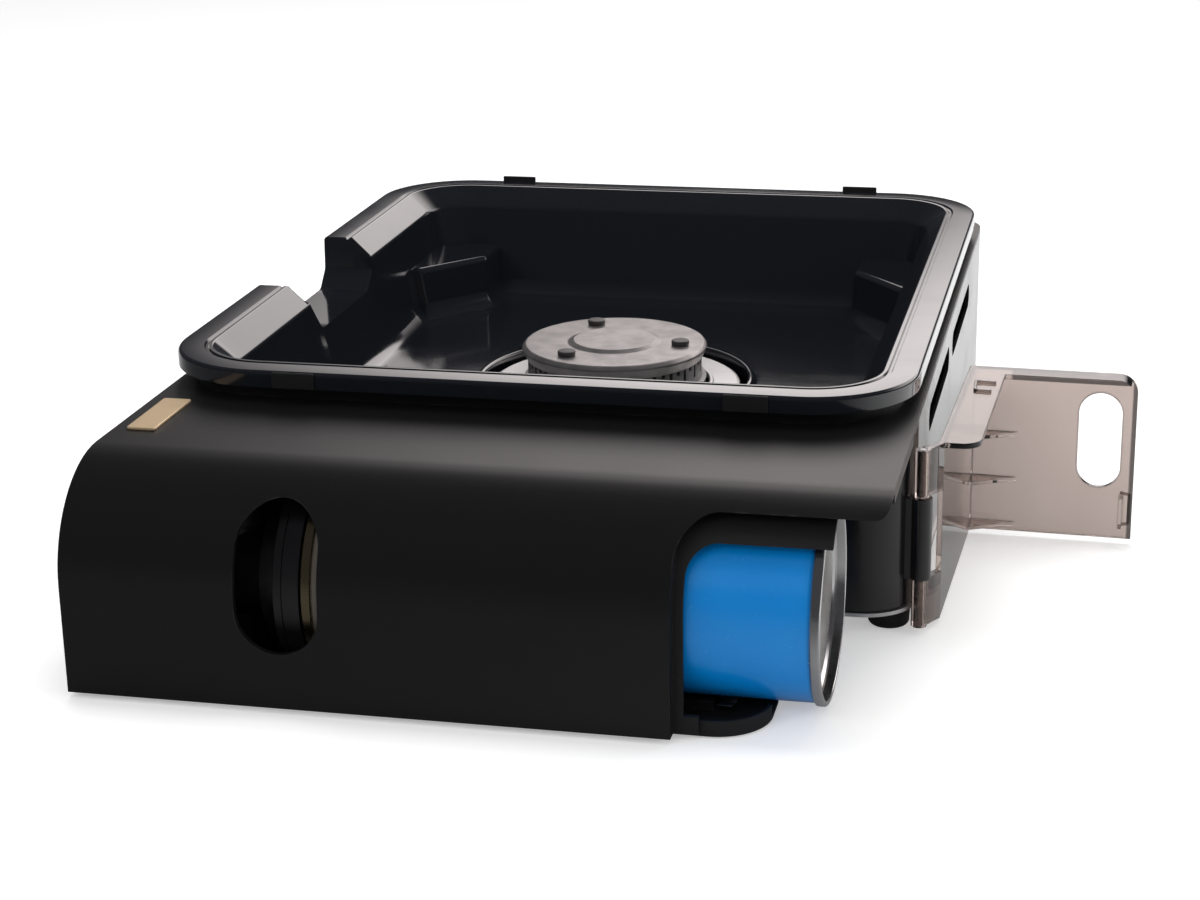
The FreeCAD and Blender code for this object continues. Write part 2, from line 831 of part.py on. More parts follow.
def burner_box():
    """The glossy box behind the cartridge: front, sides and back in one wall with round corners."""
    body = new_body("burner_box")
    outer = sketch_on(body, "xy", BOX_BOTTOM)
    rectangle(outer, 0, D.box_front, RIGHT, D.housing_depth, D.box_corner)
    pad(body, outer, BOX_HEIGHT)
    inner = sketch_on(body, "xy", BOX_BOTTOM)
    inset = D.box_wall
    rectangle(inner, inset, D.box_front + inset, RIGHT - inset, D.housing_depth - inset, D.box_corner - inset)
    pocket(body, inner, BOX_HEIGHT)
    for side, low in ((RIGHT - D.box_corner, DECK - D.wall - D.slot_drop), (LEFT, BOX_BOTTOM + D.slot_drop)):
        slots = sketch_on(body, "yz", side)
        for place in range(2):
            first = D.box_front + D.slot_first + D.slot_pitch * place
            racetrack(slots, first, low, first + D.slot_length, low + D.slot_width)
        pocket(body, slots, D.box_corner)
    notch = sketch_on(body, "yz")
    rectangle(notch, NOTCH_START - NOTCH_MARGIN, NOTCH_FLOOR - D.bowl_wall - D.seat_gap,
              NOTCH_END + NOTCH_MARGIN, DECK)
    pocket(body, notch, D.box_wall * 2)
    front = sketch_on(body, "xz", D.box_front)
    circle(front, PIPE_X, D.tube_height, D.pipe_radius + D.hole_gap)
    circle(front, CAM_X, D.igniter_height, D.lead_radius + D.hole_gap)
    pocket(body, front, D.box_wall * 2)
    keep(body, "burner_box")


def base_pan():
    """The sheet under the burner box, with a lit edge all round and a ring of air holes under the burner."""
    body = new_body("base_pan")
    plate = sketch_on(body, "xy", D.foot_height)
    edge = D.pan_edge
    rectangle(plate, -edge, D.box_front - edge, RIGHT + edge, D.housing_depth, D.box_corner + edge)
    pad(body, plate, D.pan_sheet)
    hole = sketch_on(body, "xy", D.foot_height, (BURNER_X, BURNER_Y))
    circle(hole, D.air_circle, 0.0, D.air_hole)
    ring_of(body, pocket(body, hole, D.pan_sheet), hole, D.air_count)
    keep(body, "base_pan")


def corners_of(inset_x, inset_y):
    """The four places set in from the corners of the burner box."""
    xs = (LEFT + inset_x, RIGHT - inset_x)
    ys = (D.box_front + inset_y, D.housing_depth - inset_y)
    return [(x, y) for x in xs for y in ys]


def feet():
    parts = [cone(f"foot_{n}", x, y, 0.0, D.foot_radius - D.foot_taper, D.foot_radius, D.foot_height)
             for n, (x, y) in enumerate(corners_of(D.foot_inset_x, D.foot_inset_y))]
    keep(group("feet", *parts), "feet")


def base_screws():
    """Round screw heads that hold the pan to the burner box."""
    spots = corners_of(D.screw_inset_x, D.screw_inset_y)
    parts = [cylinder(f"base_screw_{n}", x, y, D.foot_height - D.screw_head, D.screw_radius, D.screw_head)
             for n, (x, y) in enumerate(spots)]
    keep(group("base_screws", *parts), "base_screws")


def badge_plate():
    body = new_body("badge_plate")
    face = sketch_on(body, "xy", DECK)
    rectangle(face, D.badge_left, D.badge_front, D.badge_left + D.badge_width, D.badge_front + D.badge_length,
              D.badge_sheet)
    pad(body, face, D.badge_sheet)
    keep(body, "badge_plate")


# Drip bowl
def wall_inset(level):
    """How far the inside of the bowl's wall is set in from the rim's edge at a height above the table."""
    return D.rim_flange + D.bowl_draft * (RIM_LOW - level) / (RIM_LOW - D.bowl_floor)


def notch_outline(sketch, grow, top):
    """The side notch: a slanted near side, a flat floor and a steep far side, grown outwards by a wall."""
    floor = NOTCH_FLOOR - grow
    outline(sketch, [(NOTCH_START - grow, top), (NOTCH_START - grow, RIM_TOP - D.notch_lead),
                     (NOTCH_START + D.notch_run - grow, floor), (NOTCH_END - D.notch_heel, floor),
                     (NOTCH_END + grow, floor + D.notch_heel + grow), (NOTCH_END + grow, top)])


def corner_block(body, left, near):
    """One raised corner of the bowl, cut off on the slant, which carries a foot of the pan or grill."""
    sketches = []
    for level, draw_in in ((D.bowl_floor - D.bowl_wall / 2, D.block_draft), (D.bowl_floor + D.block_height, 0)):
        sketch = sketch_on(body, "xy", level)
        inset = wall_inset(level) - D.bowl_wall / 2

        def spot(along_x, along_y):
            x = RIM_LEFT + inset + along_x if left else RIM_RIGHT - inset - along_x
            y = D.rim_front + inset + along_y if near else RIM_BACK - inset - along_y
            return x, y

        outline(sketch, [spot(0, 0) + (D.rim_corner - inset,), spot(D.block_width - draw_in, 0),
                         spot(D.block_width - draw_in, D.block_step),
                         spot(D.block_nose, D.block_reach - draw_in), spot(0, D.block_reach - draw_in)])
        sketches.append(sketch)
    loft(body, *sketches)


def outlines_at(body, *places):
    """One rim outline for each level and inset."""
    sketches = []
    for level, inset in places:
        sketches.append(sketch_on(body, "xy", level))
        rim_outline(sketches[-1], inset)
    return sketches


def drip_bowl():
    """The deep glossy bowl: a level rim with a skirt, a sloped band down to drafted walls, a side notch,
    four corner blocks and a beaded hole round the burner."""
    body = new_body("drip_bowl")
    wall, floor = D.bowl_wall, D.bowl_floor
    underside = RIM_TOP - wall
    rim, below = outlines_at(body, (RIM_TOP - D.rim_skirt, 0), (RIM_TOP - D.rim_skirt, wall))
    pad(body, rim, D.rim_skirt)
    pocket(body, below, D.rim_skirt - wall)
    loft(body, *outlines_at(body, (RIM_LOW, D.rim_flange - wall), (underside, D.rim_band - wall / 2)))
    loft(body, *outlines_at(body, (floor - wall, wall_inset(floor) - wall), (RIM_LOW, D.rim_flange - wall)))
    liner = sketch_on(body, "yz", RIM_LEFT)
    notch_outline(liner, wall, RIM_TOP - wall / 2)
    pad(body, liner, D.rim_flange + wall)
    mouth = outlines_at(body, (RIM_LOW, D.rim_flange), (RIM_TOP, D.rim_band))
    inside = outlines_at(body, (floor, wall_inset(floor)), (RIM_LOW, D.rim_flange))
    doc.recompute()
    carve(body, *mouth)
    carve(body, *inside)
    level = float(floor)
    round_edges(body, lambda e: abs(e.BoundBox.ZMin - level) < 1e-4 and e.BoundBox.ZLength < 1e-4,
                D.bowl_bottom_radius)
    for left in (True, False):
        for near in (True, False):
            corner_block(body, left, near)
    bead = sketch_on(body, "xy", floor - wall)
    circle(bead, BURNER_X, BURNER_Y, D.hole_radius + D.hole_bead)
    pad(body, bead, wall + D.hole_bead)
    hole = sketch_on(body, "xy", floor - wall)
    circle(hole, BURNER_X, BURNER_Y, D.hole_radius)
    pocket(body, hole, wall + D.hole_bead)
    notch = sketch_on(body, "yz", RIM_LEFT - wall)
    notch_outline(notch, as_size(0), RIM_TOP + wall)
    pocket(body, notch, wall_inset(NOTCH_FLOOR) + wall * 2)
    keep(body, "drip_bowl")


def rim_lugs():
    """Four small lugs on the rim: two flush ones in front and two that stand a little higher behind."""
    parts = []
    for n, side in enumerate((-0.5, 0.5)):
        x = BURNER_X + D.lug_spread * side - D.lug_width / 2
        low = RIM_TOP - D.rim_skirt
        parts.append(box(f"lug_front_{n}", x, D.rim_front - D.lug_sheet, low, D.lug_width, D.lug_sheet,
                         D.rim_skirt))
        parts.append(box(f"lug_back_{n}", x, RIM_BACK, low, D.lug_width, D.lug_sheet,
                         D.rim_skirt + D.lug_rise))
    keep(group("rim_lugs", *parts), "rim_lugs")


# Burner
def spoke(angle, along, side):
    """A point out along a direction and off to its left, from the sketch's zero point."""
    return cosine(angle) * along - sine(angle) * side, sine(angle) * along + cosine(angle) * side


def burner_cap():
    """The round lid of the burner: sides that draw in downwards, a broken edge and a raised middle."""
    body = new_body("burner_cap")
    low = D.cap_underside
    top = low + D.cap_thickness
    turned(body, [(0, low), (D.cap_radius - D.cap_taper, low), (D.cap_radius, top - D.cap_edge),
                  (D.cap_radius - D.cap_edge, top), (D.boss_radius + D.boss_rise, top),
                  (D.boss_radius, top + D.boss_rise), (0, top + D.boss_rise)], BURNER_X, BURNER_Y)
    keep(body, "burner_cap")


def burner_studs():
    parts = []
    for n in range(3):
        angle = D.stud_turn + 120 * n
        across, up = spoke(angle, D.stud_circle, 0)
        parts.append(cylinder(f"stud_{n}", BURNER_X + across, BURNER_Y + up, D.cap_underside + D.cap_thickness,
                              D.stud_radius, D.stud_rise))
    keep(group("burner_studs", *parts), "burner_studs")


def burner_crown():
    """The ring of flame ports under the cap: deep slots with a shallow notch between each two."""
    body = new_body("burner_crown")
    ring = sketch_on(body, "xy", D.cap_underside - D.crown_height)
    circle(ring, 0, 0, D.crown_radius)
    circle(ring, 0, 0, D.crown_radius - D.crown_wall)
    pad(body, ring, D.crown_height)
    half = D.crown_slot_width / 2
    reach = (D.crown_radius - D.crown_wall - half, D.crown_radius + half)
    for angle, depth in ((as_size(0), D.crown_slot_depth), (as_size(180) / D.crown_slots, D.crown_notch_depth)):
        slot = sketch_on(body, "xy", D.cap_underside - depth)
        outline(slot, [spoke(angle, reach[0], -half), spoke(angle, reach[1], -half),
                       spoke(angle, reach[1], half), spoke(angle, reach[0], half)])
        ring_of(body, pocket(body, slot, depth), slot, D.crown_slots)
    keep(body, "burner_crown", BURNER_X, BURNER_Y)


def burner_body():
    """The cast bowl of the burner on its short stem, with a lip round the foot of the crown."""
    body = new_body("burner_body")
    top = D.cap_underside - D.crown_height
    lip = D.crown_radius + D.crown_lip
    turned(body, [(0, BOX_BOTTOM), (D.stem_foot, BOX_BOTTOM), (D.stem_foot, D.burner_floor),
                  (D.throat_radius, D.burner_floor), (D.throat_radius, top - D.crown_wall),
                  (lip, top - D.crown_shoulder), (lip, top), (0, top)], BURNER_X, BURNER_Y)
    keep(body, "burner_body")


def mixing_tube():
    """The tube that draws in air round the jet and feeds the burner."""
    length = BURNER_Y - TUBE_START
    tube = cylinder("tube_outside", BURNER_X, TUBE_START, D.tube_height, D.tube_radius, length, "y")
    flare = cone("tube_flare", BURNER_X, TUBE_START, D.tube_height, D.mouth_radius, D.tube_radius,
                 D.mouth_length, "y")
    bore = cylinder("tube_bore", BURNER_X, TUBE_START, D.tube_height, D.tube_radius - D.tube_wall, length, "y")
    mouth = cone("tube_mouth", BURNER_X, TUBE_START, D.tube_height, D.mouth_radius - D.tube_wall,
                 D.tube_radius - D.tube_wall, D.mouth_length, "y")
    throat = cylinder("tube_throat", BURNER_X, BURNER_Y, D.burner_floor, D.throat_radius, D.throat_radius)
    outside = fuse("tube_skin", tube, flare)
    inside = fuse("tube_space", bore, mouth, throat)
    keep(cut("mixing_tube", outside, inside), "mixing_tube")


def ring_plate():
    """The bright plate in the bowl's hole, round the burner, with a hole for the electrode."""
    body = new_body("ring_plate")
    plate = sketch_on(body, "xy", D.bowl_floor - D.bowl_wall / 2)
    circle(plate, BURNER_X, BURNER_Y, D.plate_outer)
    circle(plate, BURNER_X, BURNER_Y, D.plate_inner)
    circle(plate, BURNER_X, BURNER_Y + D.electrode_circle, D.ceramic_radius + D.hole_gap)
    pad(body, plate, D.plate_sheet)
    keep(body, "ring_plate")


def plate_stays():
    """Four posts that carry the ring plate on the base pan."""
    circle_radius = (D.plate_outer + D.plate_inner) / 2
    height = D.bowl_floor - D.bowl_wall / 2 - BOX_BOTTOM
    parts = []
    for n, angle in enumerate((30, 150, 210, 330)):
        across, up = spoke(angle, circle_radius, 0)
        parts.append(cylinder(f"stay_{n}", BURNER_X + across, BURNER_Y + up, BOX_BOTTOM, D.screw_radius, height))
    keep(group("plate_stays", *parts), "plate_stays")


def electrode():
    """The spark electrode: a ceramic sleeve through the ring plate, and a wire bent over to the crown."""
    y = BURNER_Y + D.electrode_circle
    low = D.burner_floor + D.pan_sheet
    top = D.bowl_floor + D.ceramic_rise
    keep(cylinder("electrode_ceramic", BURNER_X, y, low, D.ceramic_radius, top - low), "electrode_ceramic",
         BURNER_X, y)
    high = D.cap_underside - D.crown_slot_depth / 2
    reach = D.electrode_circle - D.crown_radius - D.spark_gap
    wire = bent_rod("electrode_wire", [(BURNER_X, y, top), (BURNER_X, y, high), (BURNER_X, y - reach, high)],
                    [D.wire_bend], D.wire_radius)
    keep(wire, "electrode_wire")
    return low


# Gas side
def gas_pipe():
    spots = [(PIPE_X, OUTLET_END, D.tube_height), (PIPE_X, PIPE_Y, D.tube_height),
             (BURNER_X, PIPE_Y, D.tube_height), (BURNER_X, JET_START, D.tube_height)]
    keep(bent_rod("gas_pipe", spots, [D.pipe_bend, D.pipe_bend], D.pipe_radius), "gas_pipe")


def jet_nozzle():
    """The brass jet: a six-sided shoulder and a tapered nose."""
    nut = doc.addObject("Part::Prism", "jet_nut")
    nut.Polygon = 6
    bind(nut, "Circumradius", D.jet_radius + D.jet_shoulder)
    bind(nut, "Height", D.jet_length / 2)
    nut.Placement.Rotation = FreeCAD.Rotation(FreeCAD.Vector(1, 0, 0), -90)
    for letter, size in (("x", BURNER_X), ("y", JET_START), ("z", D.tube_height)):
        bind(nut, f"Placement.Base.{letter}", size)
    nose = cone("jet_nose", BURNER_X, JET_START + D.jet_length / 2, D.tube_height, D.jet_radius,
                D.jet_radius / 2, D.jet_length / 2, "y")
    keep(fuse("jet_nozzle", nut, nose), "jet_nozzle")


def heat_shield():
    """A bright sheet between the cartridge and the burner, standing on its own flange."""
    body = new_body("heat_shield")
    y = D.box_front + D.box_wall + D.shield_gap
    sheet_line = sketch_on(body, "yz", D.box_corner)
    outline(sheet_line, [(y, BOX_BOTTOM), (y + D.shield_foot, BOX_BOTTOM),
                         (y + D.shield_foot, BOX_BOTTOM + D.shield_sheet),
                         (y + D.shield_sheet, BOX_BOTTOM + D.shield_sheet),
                         (y + D.shield_sheet, BOX_BOTTOM + D.shield_height), (y, BOX_BOTTOM + D.shield_height)])
    pad(body, sheet_line, RIGHT - D.box_corner * 2)
    hole = sketch_on(body, "xz", y)
    circle(hole, PIPE_X, D.tube_height, D.pipe_radius + D.hole_gap)
    pocket(body, hole, D.shield_sheet)
    keep(body, "heat_shield")


def regulator():
    """Valve body with a flange that takes the cartridge's stem, an outlet boss and a saddle under it, and
    the round diaphragm drum on top."""
    y, z = D.can_axis_y, CAN_Z
    outlet_radius = D.pipe_radius + D.outlet_wall
    shell = cylinder("valve_shell", VALVE_BACK, y, z, D.valve_radius, D.valve_length, "x")
    flange = cylinder("valve_plate", VALVE_FACE - D.flange_plate, y, z, D.valve_flange, D.flange_plate * 2, "x")
    neck = cylinder("drum_neck", PIPE_X, y, z, D.drum_radius - D.drum_neck, D.valve_radius)
    outlet = cylinder("outlet_boss", PIPE_X, y, D.tube_height, outlet_radius, OUTLET_END - y, "y")
    depth = D.stem_reach + D.socket_room
    socket = cylinder("stem_socket", VALVE_FACE - depth, y, z, D.stem_radius + D.shaft_gap, depth, "x")
    recess = cylinder("collar_recess", VALVE_FACE, y, z, D.collar_radius + D.collar_room, D.flange_plate, "x")
    casting = fuse("valve_casting", shell, flange, neck, outlet)
    keep(cut("valve_body", casting, fuse("valve_space", socket, recess)), "valve_body")
    top = D.tube_height - outlet_radius - D.seat_gap
    block = box("saddle_block", VALVE_BACK + D.saddle_inset, y - D.saddle_width / 2, D.tray_floor,
                D.valve_length / 2, D.saddle_width, top - D.tray_floor)
    round_seat = cylinder("saddle_round", VALVE_BACK, y, z, D.valve_radius, D.valve_length, "x")
    keep(cut("valve_saddle", block, round_seat), "valve_saddle")
    body = new_body("regulator_drum")
    turned(body, [(0, DRUM_LOW), (D.drum_radius, DRUM_LOW), (D.drum_radius, DRUM_LOW + D.drum_rim),
                  (D.drum_radius - D.drum_shoulder, DRUM_LOW + D.drum_slope),
                  (D.drum_radius - D.drum_nose, DRUM_LOW + D.drum_height), (0, DRUM_LOW + D.drum_height)],
           PIPE_X, y)
    keep(body, "regulator_drum")


def cartridge_seat():
    """The plate behind the ring magnet, bored for the cartridge's collar."""
    y, z = D.can_axis_y, CAN_Z
    plate = cylinder("seat_disc", SEAT_BACK, y, z, D.base_seam, D.seat_plate, "x")
    bore = cylinder("seat_bore", SEAT_BACK, y, z, D.seat_bore, D.seat_plate, "x")
    keep(cut("cartridge_seat", plate, bore), "cartridge_seat")
    ring = cylinder("magnet_disc", SEAT_FRONT, y, z, D.base_seam, D.magnet_length, "x")
    space = cylinder("magnet_bore", SEAT_FRONT, y, z, D.magnet_inner, D.magnet_length, "x")
    keep(cut("magnet_ring", ring, space), "magnet_ring")


# Knob and igniter
def control_knob():
    """The knob on the left end: a tapered disc with a finger bar across it, on a plain dial ring."""
    y, z = D.can_axis_y, CAN_Z
    start = -(D.dial_sheet + D.knob_gap)
    disc = cone("knob_disc", start - D.knob_base, y, z, D.knob_radius - D.knob_taper / 2, D.knob_radius,
                D.knob_base, "x")
    bar = box("knob_bar", start - D.knob_length, y - D.knob_bar / 2, z - D.knob_radius + D.knob_taper,
              D.knob_length - D.knob_base, D.knob_bar, (D.knob_radius - D.knob_taper) * 2)
    bore = cylinder("knob_bore", start - D.knob_base, y, z, D.shaft_radius, D.knob_base, "x")
    keep(cut("control_knob", fuse("knob_form", disc, bar), bore), "control_knob")
    ring = cylinder("dial_disc", -D.dial_sheet, y, z, D.dial_radius, D.dial_sheet, "x")
    hole = cylinder("dial_hole", -D.dial_sheet, y, z, D.shaft_radius + D.shaft_gap, D.dial_sheet, "x")
    keep(cut("dial_ring", ring, hole), "dial_ring")
    keep(cylinder("knob_shaft", start - D.knob_base, y, z, D.shaft_radius,
                  VALVE_BACK - D.seat_gap - start + D.knob_base, "x"), "knob_shaft",
         start - D.knob_base, y)


def igniter():
    """The spiral cam on the knob's shaft presses the plunger of the piezo igniter as the knob turns: its
    radius grows evenly by the plunger's travel over the knob's range."""
    y, z = D.can_axis_y, CAN_Z
    body = new_body("igniter_cam")
    face = sketch_on(body, "yz", D.cam_place)
    circle(face, y, z, D.cam_radius)
    pad(body, face, D.cam_width)
    spiral = sketch_on(body, "yz", D.cam_place)
    corners = [(y, z)]
    steps = round(D.cam_steps.value)
    for step in range(steps + 1):
        share = as_size(step) / steps
        across, up = spoke(D.cam_angle * share - 90, D.cam_radius + D.plunger_travel * share, 0)
        corners.append((y + across, z + up))
    across, up = spoke(D.cam_angle + D.cam_over_angle - 90, D.cam_radius + D.plunger_travel, 0)
    outline(spiral, corners + [(y + across, z + up)])
    pad(body, spiral, D.cam_width)
    bore = sketch_on(body, "yz", D.cam_place)
    circle(bore, y, z, D.shaft_radius)
    pocket(body, bore, D.cam_width)
    keep(body, "igniter_cam")
    low = PLUNGER_TOP - D.plunger_length
    keep(cylinder("igniter_plunger", CAM_X, y, low, D.plunger_radius, D.plunger_length), "igniter_plunger",
         CAM_X, y)
    case_top = PLUNGER_TOP - D.plunger_travel - D.seat_gap
    case = box("igniter_block", CAM_X - D.igniter_width / 2, y - D.igniter_width / 2, D.tray_floor,
               D.igniter_width, D.igniter_width, case_top - D.tray_floor)
    half = D.plunger_radius + D.shaft_gap
    well = box("igniter_well", CAM_X - half, y - half, low - D.plunger_travel - D.seat_gap, half * 2, half * 2,
               D.igniter_height * 2)
    keep(cut("piezo_igniter", case, well), "piezo_igniter")


def ignition_lead(electrode_low):
    """The wire from the igniter through the burner box to the foot of the electrode."""
    x, y = BURNER_X, BURNER_Y + D.electrode_circle
    spots = [(CAM_X, D.can_axis_y + D.igniter_width / 2, D.igniter_height), (CAM_X, y, D.igniter_height),
             (x, y, D.igniter_height), (x, y, electrode_low)]
    keep(bent_rod("ignition_lead", spots, [D.lead_bend, D.lead_turn_up], D.lead_radius), "ignition_lead")


# Tray and cartridge
def compartment_tray():
    """The tray under the cartridge: a rounded tongue that shows in the opening, with a gap in its end wall for
    the cartridge and a V in its edge, and two rails that carry the cartridge."""
    body = new_body("compartment_tray")
    right = RIGHT - D.tray_end
    low = D.tray_floor - D.tray_sheet
    outside = sketch_on(body, "xy", low)
    outline(outside, [(D.wall, D.tray_front), (right, D.tray_front, D.tray_corner), (right, D.box_front),
                      (D.wall, D.box_front)])
    pad(body, outside, D.tray_rim - low)
    inside = sketch_on(body, "xy", D.tray_floor)
    edge = D.tray_sheet
    outline(inside, [(D.wall + edge, D.tray_front + edge),
                     (right - edge, D.tray_front + edge, D.tray_corner - edge),
                     (right - edge, D.box_front - edge), (D.wall + edge, D.box_front - edge)])
    pocket(body, inside, D.tray_rim)
    gap = sketch_on(body, "yz", right - edge * 2)
    rectangle(gap, D.can_axis_y - D.tongue_gap, D.tray_floor, D.can_axis_y + D.tongue_gap, D.tray_rim + edge)
    pocket(body, gap, edge * 3)
    vee = sketch_on(body, "xy", low)
    half = D.tongue_notch / 2
    outline(vee, [(right - D.tongue_notch, D.can_axis_y), (right + edge, D.can_axis_y - half - edge),
                  (right + edge, D.can_axis_y + half + edge)])
    pocket(body, vee, D.tray_sheet)
    top = CAN_Z - root(D.top_seam * D.top_seam - D.rail_offset * D.rail_offset) - D.seat_gap
    for side in (-1, 1):
        rail = sketch_on(body, "xy", D.tray_floor)
        a = D.can_axis_y + side * D.rail_offset
        b = D.can_axis_y + side * (D.rail_offset + D.rail_width)
        low_y, high_y = (b, a) if side < 0 else (a, b)
        rectangle(rail, CAN_TOP, low_y, right - edge - D.tray_corner, high_y)
        pad(body, rail, top - D.tray_floor)
    keep(body, "compartment_tray")


def tray_leaf():
    """A springy steel leaf that lies on the tray and rises beside the cartridge."""
    body = new_body("tray_leaf")
    line = sketch_on(body, "yz", RIGHT - D.tray_end - D.tray_corner)
    low, thick = D.tray_floor, D.leaf_sheet
    near = D.can_axis_y - D.leaf_place
    bend = near - D.leaf_foot
    tip = bend - D.leaf_run
    outline(line, [(bend, low), (near, low), (near, low + thick), (bend, low + thick),
                   (tip, low + D.leaf_rise + thick), (tip, low + D.leaf_rise)])
    pad(body, line, D.leaf_width)
    keep(body, "tray_leaf")


def cartridge():
    """The gas cartridge on its side: hollow base with a rolled seam, plain can, seamed dome with a collar,
    and the valve stem."""
    y, z = D.can_axis_y, CAN_Z
    base = new_body("cartridge_base")
    neck = CAN_BASE - D.base_hollow - D.wall
    turned(base, [(neck, 0), (neck, D.can_radius), (CAN_BASE - D.seam_width, D.can_radius),
                  (CAN_BASE - D.seam_width, D.base_seam), (CAN_BASE, D.base_seam),
                  (CAN_BASE, D.base_seam - D.wall), (CAN_BASE - D.base_hollow, D.base_seam - D.wall * 2),
                  (CAN_BASE - D.base_hollow + D.wall, 0)], 0.0, y, z, "x")
    keep(base, "cartridge_base")
    can = new_body("cartridge_can")
    turned(can, [(CAN_TOP + D.seam_width, 0), (CAN_TOP + D.seam_width, D.can_radius), (neck, D.can_radius),
                 (neck, 0)], 0.0, y, z, "x")
    keep(can, "cartridge_can")
    dome = new_body("cartridge_dome")
    collar_end = COLLAR_START - D.collar_length
    turned(dome, [(collar_end, 0), (collar_end, D.collar_radius), (COLLAR_START, D.collar_radius),
                  (COLLAR_START + D.collar_ease, D.collar_radius + D.collar_swell),
                  (CAN_TOP - D.chime_drop, D.magnet_inner - D.chime_depth),
                  (CAN_TOP, D.top_seam - D.chime_depth), (CAN_TOP, D.top_seam),
                  (CAN_TOP + D.seam_width, D.top_seam), (CAN_TOP + D.seam_width, 0)], 0.0, y, z, "x")
    well = sketch_on(dome, "yz", collar_end)
    circle(well, y, z, D.stem_radius + D.shaft_gap)
    pocket(dome, well, D.stem_depth + D.stem_travel + D.seat_gap)
    keep(dome, "cartridge_dome")
    keep(cylinder("valve_stem", collar_end - D.stem_reach, y, z, D.stem_radius, D.stem_reach + D.stem_depth, "x"),
         "valve_stem", collar_end - D.stem_reach, y)


# Door and hinge
def door():
    """The see-through door, drawn closed about its hinge line: a long front plate, a short side, a flange
    along the top, gussets in the corner, a finger slot and a snap."""
    body = new_body("cartridge_door")
    low, high, thick = D.door_bottom, DOOR_TOP, D.door_wall
    side = -D.door_side
    face = -DOOR_FACE
    plan = sketch_on(body, "xy", low)
    outline(plan, [(-D.door_reach, face), (side, face), (side, -D.door_root), (side - thick, -D.door_root),
                   (side - thick, face + thick), (-D.door_reach, face + thick)])
    pad(body, plan, high - low)
    top = sketch_on(body, "xy", high - thick)
    outline(top, [(-D.door_reach, face), (side, face), (side, -D.door_root),
                  (side - D.door_flange, -D.door_root, D.door_corner), (side - D.door_flange, face + D.door_lip),
                  (-D.door_reach, face + D.door_lip)])
    pad(body, top, thick)
    left = float(-D.door_reach)
    bottom = float(high - thick)
    round_edges(body, lambda e: e.BoundBox.XLength < 1e-4 and e.BoundBox.ZLength < 1e-4
                and abs(e.BoundBox.XMin - left) < 1e-3 and e.BoundBox.ZMin > bottom + 0.1, D.door_corner)
    for level in (D.finger_level, D.finger_level - D.gusset_pitch, D.finger_level - D.gusset_pitch * 2):
        gusset = sketch_on(body, "xy", level)
        inner = (side - thick, face + thick)
        outline(gusset, [(inner[0] + D.gusset_root, inner[1] - D.gusset_root),
                         (inner[0] + D.gusset_root, inner[1] + D.gusset_depth),
                         (inner[0] - D.gusset_run, inner[1] - D.gusset_root)])
        pad(body, gusset, D.gusset_sheet)
    slot = sketch_on(body, "xz", face)
    middle = -D.door_reach + D.finger_edge
    racetrack(slot, middle - D.finger_width / 2, D.finger_level - D.finger_height / 2,
              middle + D.finger_width / 2, D.finger_level + D.finger_height / 2)
    pocket(body, slot, thick)
    snap = sketch_on(body, "xz", face + thick)
    start = -D.door_reach + D.lip_width + D.seat_gap
    rectangle(snap, start, D.snap_low, start + D.gusset_sheet, D.snap_low + D.snap_height)
    pad(body, snap, D.snap_reach)
    for z0, z1 in ((low, D.knuckle_low), (D.knuckle_high, high)):
        web = sketch_on(body, "xy", z0)
        outline(web, [(side - thick, -D.door_root), (side - thick, -D.door_root - thick),
                      (side, -D.door_root - thick), (D.web_half, -D.web_half), (-D.web_half, D.web_half)])
        pad(body, web, z1 - z0)
        barrel = sketch_on(body, "xy", z0)
        circle(barrel, 0, 0, D.knuckle_radius)
        pad(body, barrel, z1 - z0)
    bore = sketch_on(body, "xy", low)
    circle(bore, 0, 0, D.pin_radius + D.pin_gap)
    pocket(body, bore, high - low)
    keep(body, "cartridge_door", HINGE_X, HINGE_Y)
    bind(body, "Placement.Rotation.Angle", D.door_open_angle)


def hinge_bracket():
    """The middle knuckle and its arm to the round corner of the burner box, with a wedge above the door."""
    body = new_body("hinge_bracket")
    low, high = D.knuckle_low + D.seat_gap, D.knuckle_high - D.seat_gap
    cx, cy = RIGHT - D.box_corner, D.box_front + D.box_corner
    barrel = sketch_on(body, "xy", low)
    circle(barrel, HINGE_X, HINGE_Y, D.bracket_radius)
    pad(body, barrel, high - low)
    arm = sketch_on(body, "xy", low)
    half = D.bracket_arm
    outline(arm, [(cx, HINGE_Y - half), (HINGE_X, HINGE_Y - half), (HINGE_X, HINGE_Y + half),
                  (cx, HINGE_Y + half)])
    pad(body, arm, high - low)
    trim = sketch_on(body, "xy", low)
    circle(trim, cx, cy, D.box_corner)
    pocket(body, trim, high - low)
    bore = sketch_on(body, "xy", low)
    circle(bore, HINGE_X, HINGE_Y, D.pin_radius + D.pin_gap)
    pocket(body, bore, high - low)
    keep(body, "hinge_bracket")
    keep(cylinder("hinge_pin", HINGE_X, HINGE_Y, D.door_bottom, D.pin_radius, DOOR_TOP - D.door_bottom),
         "hinge_pin", HINGE_X, HINGE_Y)


for make in (top_housing, opening_surround, left_end_cover, burner_box, base_pan, feet, base_screws,
             badge_plate, drip_bowl, rim_lugs, burner_cap, burner_studs, burner_crown, burner_body, mixing_tube,
             ring_plate, plate_stays, gas_pipe, jet_nozzle, heat_shield, regulator, cartridge_seat,
             control_knob, igniter, compartment_tray, tray_leaf, cartridge, door, hinge_bracket):
    make()
ignition_lead(electrode())
doc.recompute()

